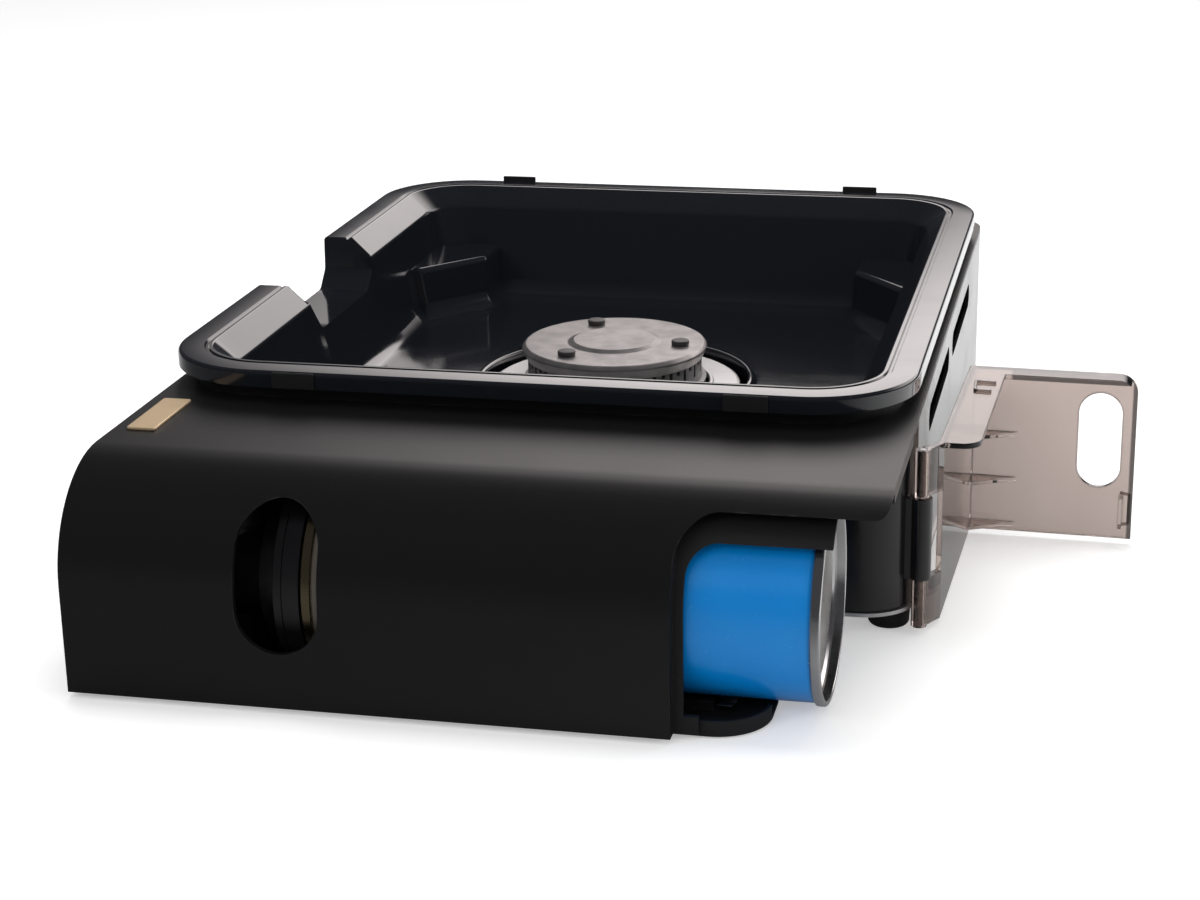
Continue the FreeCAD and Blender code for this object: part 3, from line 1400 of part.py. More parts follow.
for obj in doc.Objects:
    if any(word in obj.State for word in ("Invalid", "Error")):
        raise RuntimeError(f"{obj.Label} failed: {obj.State}")
for piece in PIECES:
    if piece.Shape.isNull() or not piece.Shape.isValid():
        raise RuntimeError(f"{piece.Label} has no sound shape")
for piece in PIECES:
    piece.Shape.exportStep(os.path.join(OUT, f"{piece.Label}.step"))
    span = piece.Shape.BoundBox
    print(f"{piece.Label}: {len(piece.Shape.Solids)} solid(s), {piece.Shape.Volume:.0f} mm3, "
          f"x {span.XMin:.1f}..{span.XMax:.1f}, y {span.YMin:.1f}..{span.YMax:.1f}, "
          f"z {span.ZMin:.1f}..{span.ZMax:.1f}")
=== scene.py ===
# %% [markdown]
# # A butane cassette stove
# The stove is a low black box for the table: a curved steel housing with a gas cartridge lying across its front,
# a deep glossy drip bowl with a round burner in the middle, and a see-through door that is swung wide open.
# The measured solids come in first and stay where they are. Each one is then given a finish, and the ones whose
# look depends on thin sheet, rolled edges or drawn corners are covered by finer surfaces worked out with numpy.

# %% Load the solids
import math

import bmesh
import bpy
import numpy as np
from mathutils import Matrix, Vector
from mathutils.geometry import delaunay_2d_cdt


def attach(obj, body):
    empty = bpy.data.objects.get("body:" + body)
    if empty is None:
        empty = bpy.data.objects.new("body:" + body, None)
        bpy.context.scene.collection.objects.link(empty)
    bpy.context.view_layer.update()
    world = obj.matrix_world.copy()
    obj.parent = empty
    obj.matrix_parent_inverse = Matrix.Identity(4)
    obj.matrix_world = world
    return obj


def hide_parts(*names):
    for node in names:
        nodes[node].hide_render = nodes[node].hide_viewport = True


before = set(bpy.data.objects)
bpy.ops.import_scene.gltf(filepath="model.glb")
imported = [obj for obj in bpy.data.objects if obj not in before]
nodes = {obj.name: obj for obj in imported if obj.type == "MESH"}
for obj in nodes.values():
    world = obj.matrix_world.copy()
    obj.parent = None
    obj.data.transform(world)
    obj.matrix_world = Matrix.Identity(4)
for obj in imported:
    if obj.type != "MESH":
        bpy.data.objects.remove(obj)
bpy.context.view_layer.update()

MM = 0.001
scene = bpy.context.scene
print("loaded", len(nodes), "solids")

# %% [markdown]
# ## Camera
# The photograph was taken from the right front with a longish lens, a little above the rim. Its place was solved
# from the cartridge's known width and from the housing's long straight edges. The camera is built from three
# directions: where it looks, what is right of it, and what is below it, and then it leans by one degree.

# %% Camera
CAMERA_PLACE = Vector((174.50, -891.54, 330.71)) * MM
TURNED_LEFT = math.radians(12.895)
TILTED_DOWN = math.radians(18.402)
LEANING = math.radians(0.992)
PHOTO_WIDTH = 1200
FOCAL_PIXELS = 2449.8


def photo_camera():
    """A camera whose axes are right, up and backwards, turned about the view line by the lean."""
    level = math.cos(TILTED_DOWN)
    ahead = Vector((-math.sin(TURNED_LEFT) * level, math.cos(TURNED_LEFT) * level, -math.sin(TILTED_DOWN)))
    right = Vector((math.cos(TURNED_LEFT), math.sin(TURNED_LEFT), 0))
    down = ahead.cross(right)
    lean_right = right * math.cos(LEANING) + down * math.sin(LEANING)
    lean_down = down * math.cos(LEANING) - right * math.sin(LEANING)
    data = bpy.data.cameras.new("photo_camera")
    data.sensor_width = 36
    data.lens = FOCAL_PIXELS / PHOTO_WIDTH * data.sensor_width
    data.clip_start = 0.05
    camera = bpy.data.objects.new("photo_camera", data)
    axes = Matrix((lean_right, -lean_down, -ahead)).transposed()
    camera.matrix_world = Matrix.Translation(CAMERA_PLACE) @ axes.to_4x4()
    scene.collection.objects.link(camera)
    return camera


scene.camera = photo_camera()
print("camera lens", round(scene.camera.data.lens, 2), "mm")

# %% [markdown]
# ## Light
# A white room with soft lamps. What the camera sees directly, or through glass, is plain white, while the light
# that falls on the stove stays at a plain level. Gloss on black is almost nothing but its surroundings, so for
# gloss the room has a bright wall behind the stove on the right, and grows dim to the left and overhead. A
# gradient over the compass angle and the height of a direction does that, and no lamp has to be moved for it. The
# lamps are left out of gloss, so that their square outlines don't show in the enamel.

# %% Room
scene.view_settings.view_transform = "Standard"
WALL_STARTS = (math.radians(-26), math.radians(-10))
WALL_ENDS = (math.radians(50), math.radians(85))
WALL_FOOT = (0.19, 0.29)
WALL_HEAD = (0.50, 0.75)
WALL_GLOW = (2.2, 2.07, 2.04, 1)
DIM_GLOW = (0.05, 0.05, 0.055, 1)
WHITE = (1, 1, 1, 1)
EVEN_LIGHT = 0.5


class Value:
    """The output of a node. Sums, differences and products of it add Math nodes."""

    def __init__(self, graph, socket):
        self.graph = graph
        self.socket = socket

    def combined(self, operation, first, second):
        return self.graph.node("Math", {"operation": operation}, {0: first, 1: second})

    def __add__(self, other):
        return self.combined("ADD", self, other)

    def __radd__(self, other):
        return self.combined("ADD", other, self)

    def __sub__(self, other):
        return self.combined("SUBTRACT", self, other)

    def __rsub__(self, other):
        return self.combined("SUBTRACT", other, self)

    def __mul__(self, other):
        return self.combined("MULTIPLY", self, other)

    def __rmul__(self, other):
        return self.combined("MULTIPLY", other, self)


class Graph:
    """A node tree, with one method that makes any node in it."""

    def __init__(self, tree):
        self.tree = tree

    def node(self, kind, settings=None, sockets=None, output=0):
        """A node of a kind, its settings made first, and then the numbers or links of its sockets."""
        made = self.tree.nodes.new(f"ShaderNode{kind}")
        for name, setting in (settings or {}).items():
            setattr(made, name, setting)
        for socket, value in (sockets or {}).items():
            self.feed(made.inputs[socket], value)
        return Value(self, made.outputs[output]) if made.outputs else made

    def parts(self, vector):
        """The three numbers of a vector."""
        outputs = self.node("SeparateXYZ", {}, {0: vector}).socket.node.outputs
        return [Value(self, output) for output in outputs]

    def rays(self, *kinds):
        """For each kind of ray, 1 where a ray of that kind is looking and 0 elsewhere."""
        outputs = self.node("LightPath").socket.node.outputs
        return [Value(self, outputs[f"Is {kind} Ray"]) for kind in kinds]

    def feed(self, socket, value):
        if isinstance(value, Value):
            self.tree.links.new(value.socket, socket)
        else:
            socket.default_value = value

    def between(self, value, low, high, to_low=0.0, to_high=1.0, smooth=False):
        """A value from low to high taken to another span, and held at its ends."""
        settings = {"interpolation_type": "SMOOTHSTEP"} if smooth else {}
        return self.node("MapRange", settings, {"Value": value, "From Min": low, "From Max": high,
                                                "To Min": to_low, "To Max": to_high})

    def blend(self, share, first, second):
        """A colour between two colours."""
        return self.node("Mix", {"data_type": "RGBA"}, {"Factor": share, 6: first, 7: second}, 2)


def room():
    """Surroundings: white to the eye, a wall of light at the right back for gloss, and even grey light."""
    world = bpy.data.worlds.new("room")
    scene.world = world
    world.use_nodes = True
    world.node_tree.nodes.clear()
    graph = Graph(world.node_tree)
    toward = graph.node("TexCoord", output="Generated")
    east, north, high = graph.parts(toward)
    compass = east.combined("ARCTAN2", east, north)
    wall = graph.between(compass, *WALL_STARTS, smooth=True)
    wall *= graph.between(compass, *WALL_ENDS, 1.0, 0.0, smooth=True)
    wall *= graph.between(high, *WALL_FOOT, smooth=True) * graph.between(high, *WALL_HEAD, 1.0, 0.0, smooth=True)
    in_gloss = graph.blend(wall, DIM_GLOW, WALL_GLOW)
    even = graph.node("Background", {}, {"Color": WHITE, "Strength": EVEN_LIGHT})
    mirrored = graph.node("Background", {}, {"Color": in_gloss, "Strength": 1.0})
    white = graph.node("Background", {}, {"Color": WHITE, "Strength": 1.0})
    eye, glass, gloss = graph.rays("Camera", "Transmission", "Glossy")
    seen = graph.node("MixShader", {}, {0: gloss, 1: even, 2: mirrored})
    seen = graph.node("MixShader", {}, {0: eye.combined("MAXIMUM", eye, glass), 1: seen, 2: white})
    graph.node("OutputWorld", {}, {"Surface": seen})


def lamp(name, place, target, size, power):
    """A rectangular soft lamp of a size in metres, facing a target, that gloss doesn't mirror."""
    data = bpy.data.lights.new(name, "AREA")
    data.shape = "RECTANGLE"
    data.size, data.size_y = size
    data.energy = power
    obj = bpy.data.objects.new(name, data)
    obj.visible_glossy = False
    obj.location = place
    obj.rotation_euler = (Vector(target) - Vector(place)).to_track_quat("-Z", "Y").to_euler()
    scene.collection.objects.link(obj)


LAMPS = {
    "over_lamp": ((0.0, 0.3, 1.6), (0, 0, 0), (1.3, 0.8), 14),
    "front_lamp": ((-0.5, -1.5, 1.1), (0, 0, 0.05), (1.2, 0.5), 5),
    "right_lamp": ((1.7, -0.4, 0.7), (0, 0, 0.05), (0.7, 0.9), 8),
}
room()
for name, facts in LAMPS.items():
    lamp(name, *facts)
print("room and", len(LAMPS), "lamps")

# %% [markdown]
# ## Finishes as sums
# A finish is a small graph of nodes. To keep it readable, a socket is wrapped in the class above with the usual
# signs, so a line such as `0.3 + 0.1 * noise` adds the nodes by itself. What a finish adds to a graph is its
# shader, the place on the piece in metres, and noise in real sizes.

# %% Finish helper
class Finish(Graph):
    """A material with one shader. Plain numbers go on the shader's own sockets when it is made."""

    def __init__(self, name, **plain):
        self.material = bpy.data.materials.new(name)
        self.material.use_nodes = True
        super().__init__(self.material.node_tree)
        self.shader = self.tree.nodes["Principled BSDF"]
        for socket, number in plain.items():
            self.shader.inputs[socket.replace("_", " ")].default_value = number
        self.place = self.node("TexCoord", output="Object")

    def noise(self, size, detail=3.0, roughness=0.5, stretch=(1, 1, 1)):
        """Cloudy grey from 0 to 1, in lumps of about a size in metres, stretched along the axes."""
        scaled = self.node("Mapping", {}, {"Vector": self.place, "Scale": [1 / part for part in stretch]})
        return self.node("TexNoise", {}, {"Vector": scaled, "Scale": 1 / size, "Detail": detail,
                                          "Roughness": roughness})

    def edges(self, radius):
        """1 on sharp outer edges and 0 away from them, from how far the rounded normal leans."""
        soft = self.node("Bevel", {"samples": 4}, {"Radius": radius})
        true = self.node("NewGeometry", output="Normal")
        facing = self.node("VectorMath", {"operation": "DOT_PRODUCT"}, {0: soft, 1: true}, "Value")
        return self.between(facing, 0.98, 0.80)

    def colour(self, value):
        self.feed(self.shader.inputs["Base Color"], value)

    def rough(self, value):
        self.feed(self.shader.inputs["Roughness"], value)

    def relief(self, height, depth, strength=1.0):
        """Bumps of a depth in metres."""
        bump = self.node("Bump", {}, {"Height": height, "Distance": depth, "Strength": strength})
        self.feed(self.shader.inputs["Normal"], bump)


print("finish helper ready")

# %% [markdown]
# ## Black finishes
# Four blacks meet on this stove: satin baked paint on the housing, glossy enamel on the bowl and the burner box,
# and grained black mouldings round the cartridge. They differ in how rough they are and in what their surface
# does under a lamp: paint shows a faint orange peel, enamel is nearly a mirror with long soft waves, and a
# moulding has fine grain.

# %% Black finishes
def satin_paint(name, tone, gloss=0.36, shine=0.3):
    """Baked paint: fine orange peel, a little uneven in sheen, with rubbed edges."""
    finish = Finish(name, IOR=1.45, Specular_IOR_Level=shine)
    cloud = finish.noise(0.05)
    peel = finish.noise(0.0012, 2)
    rubbed = finish.edges(0.0008) * finish.between(finish.noise(0.006, 4), 0.5, 0.75)
    finish.colour(finish.blend(rubbed * 0.35, (tone, tone, tone * 1.06, 1), (0.09, 0.09, 0.095, 1)))
    finish.rough(gloss + 0.06 * cloud - 0.05 * rubbed)
    finish.relief(peel, 0.00002, 0.5)
    return finish.material


def gloss_enamel(name, colour, gloss=0.1, coat=0.6):
    """Enamel: a smooth coat over black, with long waves and a few soft smears where it was wiped."""
    finish = Finish(name, IOR=1.5, Coat_Weight=coat, Coat_Roughness=0.08)
    smear = finish.between(finish.noise(0.03, 5, 0.6, (3, 1, 1)), 0.45, 0.8)
    dust = finish.between(finish.noise(0.0015, 4), 0.68, 0.8)
    finish.colour(finish.blend(dust * 0.06, (*colour, 1), (0.3, 0.3, 0.3, 1)))
    finish.rough(gloss + 0.08 * smear)
    finish.relief(finish.noise(0.02, 1), 0.00012, 0.15)
    return finish.material


def moulding(name, colour, gloss=0.45, grain=0.0006):
    """A black moulding with fine leathery grain and paler rubbed edges."""
    finish = Finish(name, IOR=1.47, Specular_IOR_Level=0.35)
    fine = finish.noise(grain, 3)
    rubbed = finish.edges(0.0006) * finish.between(finish.noise(0.004, 4), 0.5, 0.7)
    pale = tuple(0.05 + part for part in colour)
    finish.colour(finish.blend(rubbed * 0.4, (*colour, 1), (*pale, 1)))
    finish.rough(gloss + 0.1 * fine - 0.08 * rubbed)
    finish.relief(fine, 0.00004, 0.6)
    return finish.material


HOUSING = satin_paint("satin_black_housing", 0.0055, shine=0.7)
BOWL = gloss_enamel("bowl_enamel", (0.008, 0.009, 0.012))
BOX = gloss_enamel("box_enamel", (0.008, 0.008, 0.009), 0.2, 0.2)

MOULDING = moulding("black_moulding", (0.014, 0.014, 0.015))
KNOB = moulding("knob_moulding", (0.016, 0.016, 0.017), 0.38)
IGNITER = moulding("igniter_moulding", (0.05, 0.05, 0.055), 0.5)
RUBBER = moulding("foot_rubber", (0.012, 0.012, 0.012), 0.75, 0.0009)
LEAD = moulding("lead_sleeve", (0.02, 0.02, 0.02), 0.55)
print("black finishes ready")

# %% [markdown]
# ## Metal finishes
# Bright sheet has fine lines from rolling, cast metal has a sandy skin, and the burner's lid is cast iron
# worn to a warm grey. The cartridge is printed tinplate: bright bare rims, a golden lacquered dome and a blue
# coat under clear varnish. The dome's gold is darkened as painted shade, for the deep shade it lies in inside
# the compartment.

# %% Metal finishes
def sheet_metal(name, colour, gloss=0.28, stretch=(12, 1, 1), metallic=1.0):
    """Rolled sheet: streaks along one axis that vary its sheen, and a few darker stains."""
    finish = Finish(name, Metallic=metallic)
    streak = finish.noise(0.0008, 3, 0.6, stretch)
    stain = finish.between(finish.noise(0.02, 5), 0.5, 0.8)
    dull = tuple(part * 0.72 for part in colour)
    finish.colour(finish.blend(stain * 0.5, (*colour, 1), (*dull, 1)))
    finish.rough(gloss - 0.08 + 0.16 * streak + 0.1 * stain)
    finish.relief(streak, 0.00001, 0.4)
    return finish.material


def cast_metal(name, colour, metallic=1.0, gloss=0.5, grain=0.0007):
    """Cast metal: sandy skin and cloudy tone."""
    finish = Finish(name, Metallic=metallic)
    sand = finish.noise(grain, 4, 0.6)
    cloud = finish.between(finish.noise(0.008, 4), 0.35, 0.7)
    dull = tuple(part * 0.7 for part in colour)
    finish.colour(finish.blend(cloud, (*colour, 1), (*dull, 1)))
    finish.rough(gloss + 0.15 * sand)
    finish.relief(sand, 0.00008, 0.7)
    return finish.material


STEEL = sheet_metal("bright_steel", (0.60, 0.60, 0.61))
PAN = sheet_metal("zinc_plated_pan", (0.70, 0.70, 0.71), 0.42, (1, 1, 1))
PLATE = sheet_metal("ring_plate_sheet", (0.80, 0.79, 0.79), 0.4, (1, 1, 1), 0.8)
TINPLATE = sheet_metal("tinplate", (0.72, 0.72, 0.73), 0.2)
CAN_BASE = sheet_metal("can_base_lacquer", (0.86, 0.84, 0.82), 0.3)
# Painted shade: the dome's gold is darkened for the deep shade it lies in inside the compartment.
GOLD_DOME_PAINTED_SHADE = sheet_metal("golden_lacquer_painted_shade", (0.34, 0.28, 0.17), 0.24)
BADGE = sheet_metal("badge_gold", (0.80, 0.60, 0.38), 0.38, (1, 14, 1), 0.55)
BRASS = sheet_metal("turned_brass", (0.75, 0.56, 0.25), 0.25)
# Painted shade: the drum, seat and magnet ring seen in the window are darkened for the deep shade inside the
# compartment.
PLATE_PAINTED_SHADE = sheet_metal("plating_painted_shade", (0.12, 0.12, 0.125), 0.4)
CAST_SILVER = cast_metal("burner_casting", (0.55, 0.55, 0.55))
STUD_IRON = cast_metal("stud_iron", (0.16, 0.15, 0.15), 0.8, 0.4, 0.0009)
CAST_VALVE = cast_metal("valve_casting", (0.16, 0.16, 0.165), 1.0, 0.4)
CAP_IRON = cast_metal("burner_cap_iron", (0.50, 0.475, 0.47), 0.9, 0.36, 0.0009)
print("metal finishes ready")

# %% [markdown]
# ## Printed, clear and pale finishes
# The can's blue is printed under varnish, without lettering, and stops short of the dome. The door is tinted
# clear plastic: seen through its thickness it is pale, and seen along the sheet, at its turned lip and its free
# end, it is nearly black, and that dark is painted into its colour as painted shade at the lip, the free end
# and its sharp edges. A few small parts are white nylon or glazed ceramic.

# %% Printed, clear and pale finishes
PRINT_STARTS = (-0.0735, -0.0730)
LIP_HEIGHT = (0.0640, 0.0648)
LIP_START = (0.129, 0.130)
FREE_END = (0.1738, 0.1744)


def clear_coat_blue():
    """The cartridge's blue under clear varnish, with faint clouds and specks. The print stops short of the
    dome's seam, and the band left there is coloured a flat dark brown."""
    finish = Finish("cartridge_blue", IOR=1.5, Coat_Weight=0.5, Coat_Roughness=0.06)
    cloud = finish.noise(0.03, 3)
    speck = finish.between(finish.noise(0.0009, 3), 0.66, 0.74)
    blue = finish.blend(cloud, (0.0, 0.20, 0.62, 1), (0.0, 0.26, 0.72, 1))
    printed = finish.between(finish.parts(finish.place)[0], *PRINT_STARTS)
    blue = finish.blend(printed, (0.10, 0.085, 0.07, 1), blue)
    finish.colour(finish.blend(speck * printed * 0.15, blue, (0.2, 0.5, 0.9, 1)))
    finish.rough(0.22 + 0.06 * cloud)
    finish.relief(finish.noise(0.012, 2), 0.00005, 0.3)
    return finish.material


def smoke_plastic():
    """The door's smoke-coloured clear plastic: faint flow marks from moulding, a few hairline scratches, and
    edges painted nearly black as painted shade, for the dark look of the sheet seen edge-on."""
    finish = Finish("door_smoke", IOR=1.49, Transmission_Weight=1.0)
    flow = finish.noise(0.03, 4, 0.5, (1, 1, 4))
    scratch = finish.between(finish.noise(0.0006, 5, 0.7, (14, 14, 1)), 0.66, 0.8)
    across, _, up = finish.parts(finish.place)
    # Painted shade: the lip, the free end and sharp edges are darkened in colour for the sheet's dark look edge-on.
    lip = finish.between(up, *LIP_HEIGHT) * finish.between(across, *LIP_START)
    side = finish.between(across, *FREE_END)
    rim = lip.combined("MAXIMUM", lip, side)
    rim = rim.combined("MAXIMUM", rim, finish.edges(0.0012))
    tint = finish.blend(flow, (0.46, 0.375, 0.34, 1), (0.52, 0.43, 0.395, 1))
    finish.colour(finish.blend(rim * 0.85, tint, (0.05, 0.042, 0.04, 1)))
    finish.rough(0.03 + 0.12 * scratch)
    finish.relief(flow, 0.00006, 0.2)
    return finish.material


def pale_part(name, colour, gloss):
    """Off-white nylon or glazed ceramic: slightly mottled, with a fine skin."""
    finish = Finish(name, IOR=1.5)
    cloud = finish.noise(0.004, 4)
    dull = tuple(part * 0.86 for part in colour)
    finish.colour(finish.blend(cloud, (*colour, 1), (*dull, 1)))
    finish.rough(gloss + 0.1 * cloud)
    finish.relief(finish.noise(0.0008, 3), 0.00003, 0.4)
    return finish.material


CAN_BLUE = clear_coat_blue()
SMOKE = smoke_plastic()
NYLON = pale_part("nylon", (0.75, 0.73, 0.68), 0.4)
CERAMIC = pale_part("glazed_ceramic", (0.85, 0.84, 0.80), 0.2)

FINISH_OF = {
    "top_housing": HOUSING, "opening_surround": MOULDING, "left_end_cover": MOULDING, "burner_box": BOX,
    "base_pan": PAN, "feet": RUBBER, "base_screws": STEEL, "badge_plate": BADGE, "drip_bowl": BOWL,
    "rim_lugs": MOULDING, "burner_cap": CAP_IRON, "burner_studs": CAP_IRON, "burner_crown": CAST_SILVER,
    "burner_body": CAST_SILVER, "mixing_tube": STEEL, "ring_plate": PLATE, "plate_stays": STEEL,
    "gas_pipe": STEEL, "jet_nozzle": BRASS, "heat_shield": PLATE, "valve_body": CAST_VALVE,
    "valve_saddle": MOULDING, "regulator_drum": PLATE_PAINTED_SHADE, "cartridge_seat": PLATE_PAINTED_SHADE, "magnet_ring": PLATE_PAINTED_SHADE,
    "control_knob": KNOB, "dial_ring": STEEL, "knob_shaft": STEEL, "igniter_cam": NYLON,
    "igniter_plunger": NYLON, "piezo_igniter": IGNITER, "compartment_tray": MOULDING, "tray_leaf": STEEL,
    "cartridge_base": TINPLATE, "cartridge_can": CAN_BLUE, "cartridge_dome": GOLD_DOME_PAINTED_SHADE, "valve_stem": NYLON,
    "cartridge_door": SMOKE, "hinge_bracket": BOX, "hinge_pin": STEEL, "electrode_ceramic": CERAMIC,
    "electrode_wire": STEEL, "ignition_lead": LEAD,
}
for name, material in FINISH_OF.items():
    mesh = nodes[name].data
    mesh.materials.clear()
    mesh.materials.append(material)
print("finishes given to", len(FINISH_OF), "solids")

# %% [markdown]
# # Surfaces from arrays
# Most of what shows on this stove is thin sheet that was drawn, bent or turned, so a piece is best described by
# a short profile and the way it is carried: round an axis for the burner's lid, round a rounded rectangle for the
# bowl. Both give a grid of points, worked out as whole arrays. Lengths below are in millimetres, measured from
# the left end of the housing and from its front panel, as a drawing of the stove would have them.

# %% Profiles
DRAWING_ZERO = np.array([-164.436, -205.5, 0.0])
FOLD_ANGLE = math.radians(32)


def rounded(corners, steps=5):
    """A profile through corners (a, b) or (a, b, radius). At a radius the corner gives way to an arc that
    touches both its sides, and the touching points lie radius times the tangent of half the turn away."""
    spots = np.array([corner[:2] for corner in corners], float)
    radii = [corner[2] if len(corner) > 2 else 0 for corner in corners]
    profile = [spots[:1]]
    for index in range(1, len(spots) - 1):
        into = (spots[index] - spots[index - 1]) / np.linalg.norm(spots[index] - spots[index - 1])
        away = (spots[index + 1] - spots[index]) / np.linalg.norm(spots[index + 1] - spots[index])
        turn = math.acos(np.clip(into @ away, -1, 1))
        if radii[index] == 0 or turn < 1e-3:
            profile.append(spots[index][None])
            continue
        back = radii[index] * math.tan(turn / 2)
        middle = (away - into) / np.linalg.norm(away - into)
        centre = spots[index] + middle * radii[index] / math.cos(turn / 2)
        share = np.linspace(0, 1, steps + 1)[:, None]
        spoke = (spots[index] - into * back) * (1 - share) + (spots[index] + away * back) * share - centre
        profile.append(centre + spoke / np.linalg.norm(spoke, axis=1, keepdims=True) * radii[index])
    return np.vstack(profile + [spots[-1:]])


def rounded_rectangle(x0, y0, x1, y1, radius, arc, side, left_stops):
    """Points round a rectangle with round corners, and the outward direction at each. A point is the centre
    of its corner plus radius times that direction. The straight sides are divided evenly, and the left one
    also has a point at each of its stops."""
    centres = [(x1 - radius, y1 - radius), (x0 + radius, y1 - radius), (x0 + radius, y0 + radius),
               (x1 - radius, y0 + radius)]
    points, outward = [], []
    for corner, centre in enumerate(centres):
        angle = np.linspace(0, np.pi / 2, arc + 1) + corner * np.pi / 2
        turn = np.column_stack([np.cos(angle), np.sin(angle)])
        start = np.array(centre) + turn[-1] * radius
        following = np.array(centres[(corner + 1) % 4]) + turn[-1] * radius
        share = np.linspace(0, 1, max(2, round(np.linalg.norm(following - start) / side)) + 1)[1:-1]
        if corner == 1:
            stops = (start[1] - np.asarray(left_stops, float)) / (start[1] - following[1])
            share = np.unique(np.concatenate([share[np.abs(share[:, None] - stops).min(axis=1) > 0.01], stops]))
        points += [np.array(centre) + turn * radius, start + (following - start) * share[:, None]]
        outward += [turn, np.repeat(turn[-1:], len(share), axis=0)]
    return np.vstack(points), np.vstack(outward)


def grid_faces(rows, columns, rows_close=False):
    """Four corners for each cell of a grid whose points are numbered row by row and whose columns close."""
    row = np.arange(rows if rows_close else rows - 1)[:, None]
    column = np.arange(columns)[None]
    next_row, next_column = (row + 1) % rows, (column + 1) % columns
    cells = [row * columns + column, row * columns + next_column, next_row * columns + next_column,
             next_row * columns + column]
    return np.stack([cell.ravel() for cell in cells], axis=1)


print("profiles ready")

# %% [markdown]
# ## From points to pieces
# Every piece is finished in the same way: doubled points are merged, faces turned outwards, a finish given, sharp
# edges rolled if asked, and the piece set to ride on its body. A solid's own shape can be used as well, from a
# copy of it.

# %% Pieces
def cleaned(mesh, flat_angle=None):
    """Merges doubled points, drops faces with no area, melts flat facets together and turns faces outwards."""
    shape = bmesh.new()
    shape.from_mesh(mesh)
    bmesh.ops.remove_doubles(shape, verts=shape.verts, dist=2e-6)
    bmesh.ops.dissolve_degenerate(shape, edges=shape.edges, dist=1e-6)
    if flat_angle is not None:
        bmesh.ops.dissolve_limit(shape, angle_limit=flat_angle, verts=shape.verts, edges=shape.edges)
    bmesh.ops.recalc_face_normals(shape, faces=shape.faces)
    shape.to_mesh(mesh)
    shape.free()


def placed(name, mesh, finish, body, stands_for=(), edge=0.0):
    """Makes a mesh a piece that rides on a body and stands for solids. Its sharp edges are rolled if asked."""
    obj = bpy.data.objects.new(name, mesh)
    scene.collection.objects.link(obj)
    mesh.materials.clear()
    mesh.materials.append(finish)
    mesh.shade_smooth()
    if edge:
        roll = obj.modifiers.new("rolled_edges", "BEVEL")
        roll.width = edge * MM
        roll.segments = 3
        roll.limit_method = "ANGLE"
        roll.angle_limit = FOLD_ANGLE
        roll.use_clamp_overlap = True
        even = obj.modifiers.new("even_shading", "WEIGHTED_NORMAL")
        even.keep_sharp = True
    else:
        mesh.set_sharp_from_angle(angle=FOLD_ANGLE)
    if stands_for:
        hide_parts(*stands_for)
    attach(obj, body)
    return obj


def surface(name, points, faces, finish, body, stands_for=(), edge=0.0):
    """A piece from points in drawing millimetres and the faces between them."""
    mesh = bpy.data.meshes.new(name)
    places = (np.asarray(points, float).reshape(-1, 3) + DRAWING_ZERO) * MM
    mesh.from_pydata(places.tolist(), [], np.asarray(faces).tolist())
    cleaned(mesh)
    return placed(name, mesh, finish, body, stands_for, edge)


def turned(name, profile, centres, axis, finish, body="stove", stands_for=(), around=96):
    """Profiles of (radius, along) swept round an axis through each centre: a point is the centre, plus along
    times the axis, plus radius times the direction at its angle."""
    across = {"x": ((0, 1, 0), (0, 0, 1)), "z": ((1, 0, 0), (0, 1, 0))}[axis]
    line = np.array({"x": (1, 0, 0), "z": (0, 0, 1)}[axis], float)
    angle = np.linspace(0, 2 * np.pi, around, endpoint=False)
    ring = np.cos(angle)[:, None] * np.array(across[0]) + np.sin(angle)[:, None] * np.array(across[1])
    radius, along = np.asarray(profile, float).T
    one = along[:, None, None] * line + radius[:, None, None] * ring[None]
    copies = np.asarray(centres, float).reshape(-1, 1, 1, 3) + one[None]
    faces = grid_faces(len(radius), around)
    every = faces[None] + np.arange(len(copies))[:, None, None] * len(radius) * around
    return surface(name, copies, every.reshape(-1, 4), finish, body, stands_for)


def softened(node, edge, body="stove"):
    """The solid's own shape with its flat facets melted together and its edges rolled by a small radius."""
    mesh = nodes[node].data.copy()
    cleaned(mesh, math.radians(0.6))
    return placed(f"{node}_finished", mesh, FINISH_OF[node], body, (node,), edge)


print("piece makers ready")

# %% [markdown]
# ## Drip bowl
# The bowl is one blank of steel, drawn deep and enamelled: a level rim with a skirt and a fine groove, a sloped
# band, drafted walls
# and a floor with a hole for the burner. So it is one profile carried round the rim, where a point is the outline
# minus its inset along the outward direction. On the floor the outline turns step by step into the hole's circle.
# The side notch is pressed down afterwards, so there the height is simply held under the notch's own curve.

# %% Drip bowl
RIM = (-3.5, 90.5, 266.5, 409.5)
RIM_CORNER = 38.0
BURNER = np.array([131.5, 250.0])
FLOOR_TOP = 41.0
FLOOR_UNDER = 39.0
FLOOR_INSET = 37
HOLE_RING = 60
NOTCH_TOP = rounded([(203.0, 88.1), (205.6, 88.1, 1.6), (207.4, 84.0, 2.5), (219, 67, 4), (279, 67, 4),
                     (286.4, 74.4, 2.5), (287.2, 88.1, 1.2), (291, 88.1)], 4)
NOTCH_UNDER = np.array([(203.0, 90), (204.2, 86), (217.5, 65), (279.6, 65), (288.8, 74.5), (290, 90)])


def under_notch(points, curve, low):
    """Holds the height under the notch's curve on the bowl's left side."""
    limit = np.interp(points[..., 1], curve[:, 0], curve[:, 1], left=99, right=99)
    beside = points[..., 0] < 24
    points[..., 2] = np.where(beside & (points[..., 2] > low), np.minimum(points[..., 2], limit), points[..., 2])
    return points


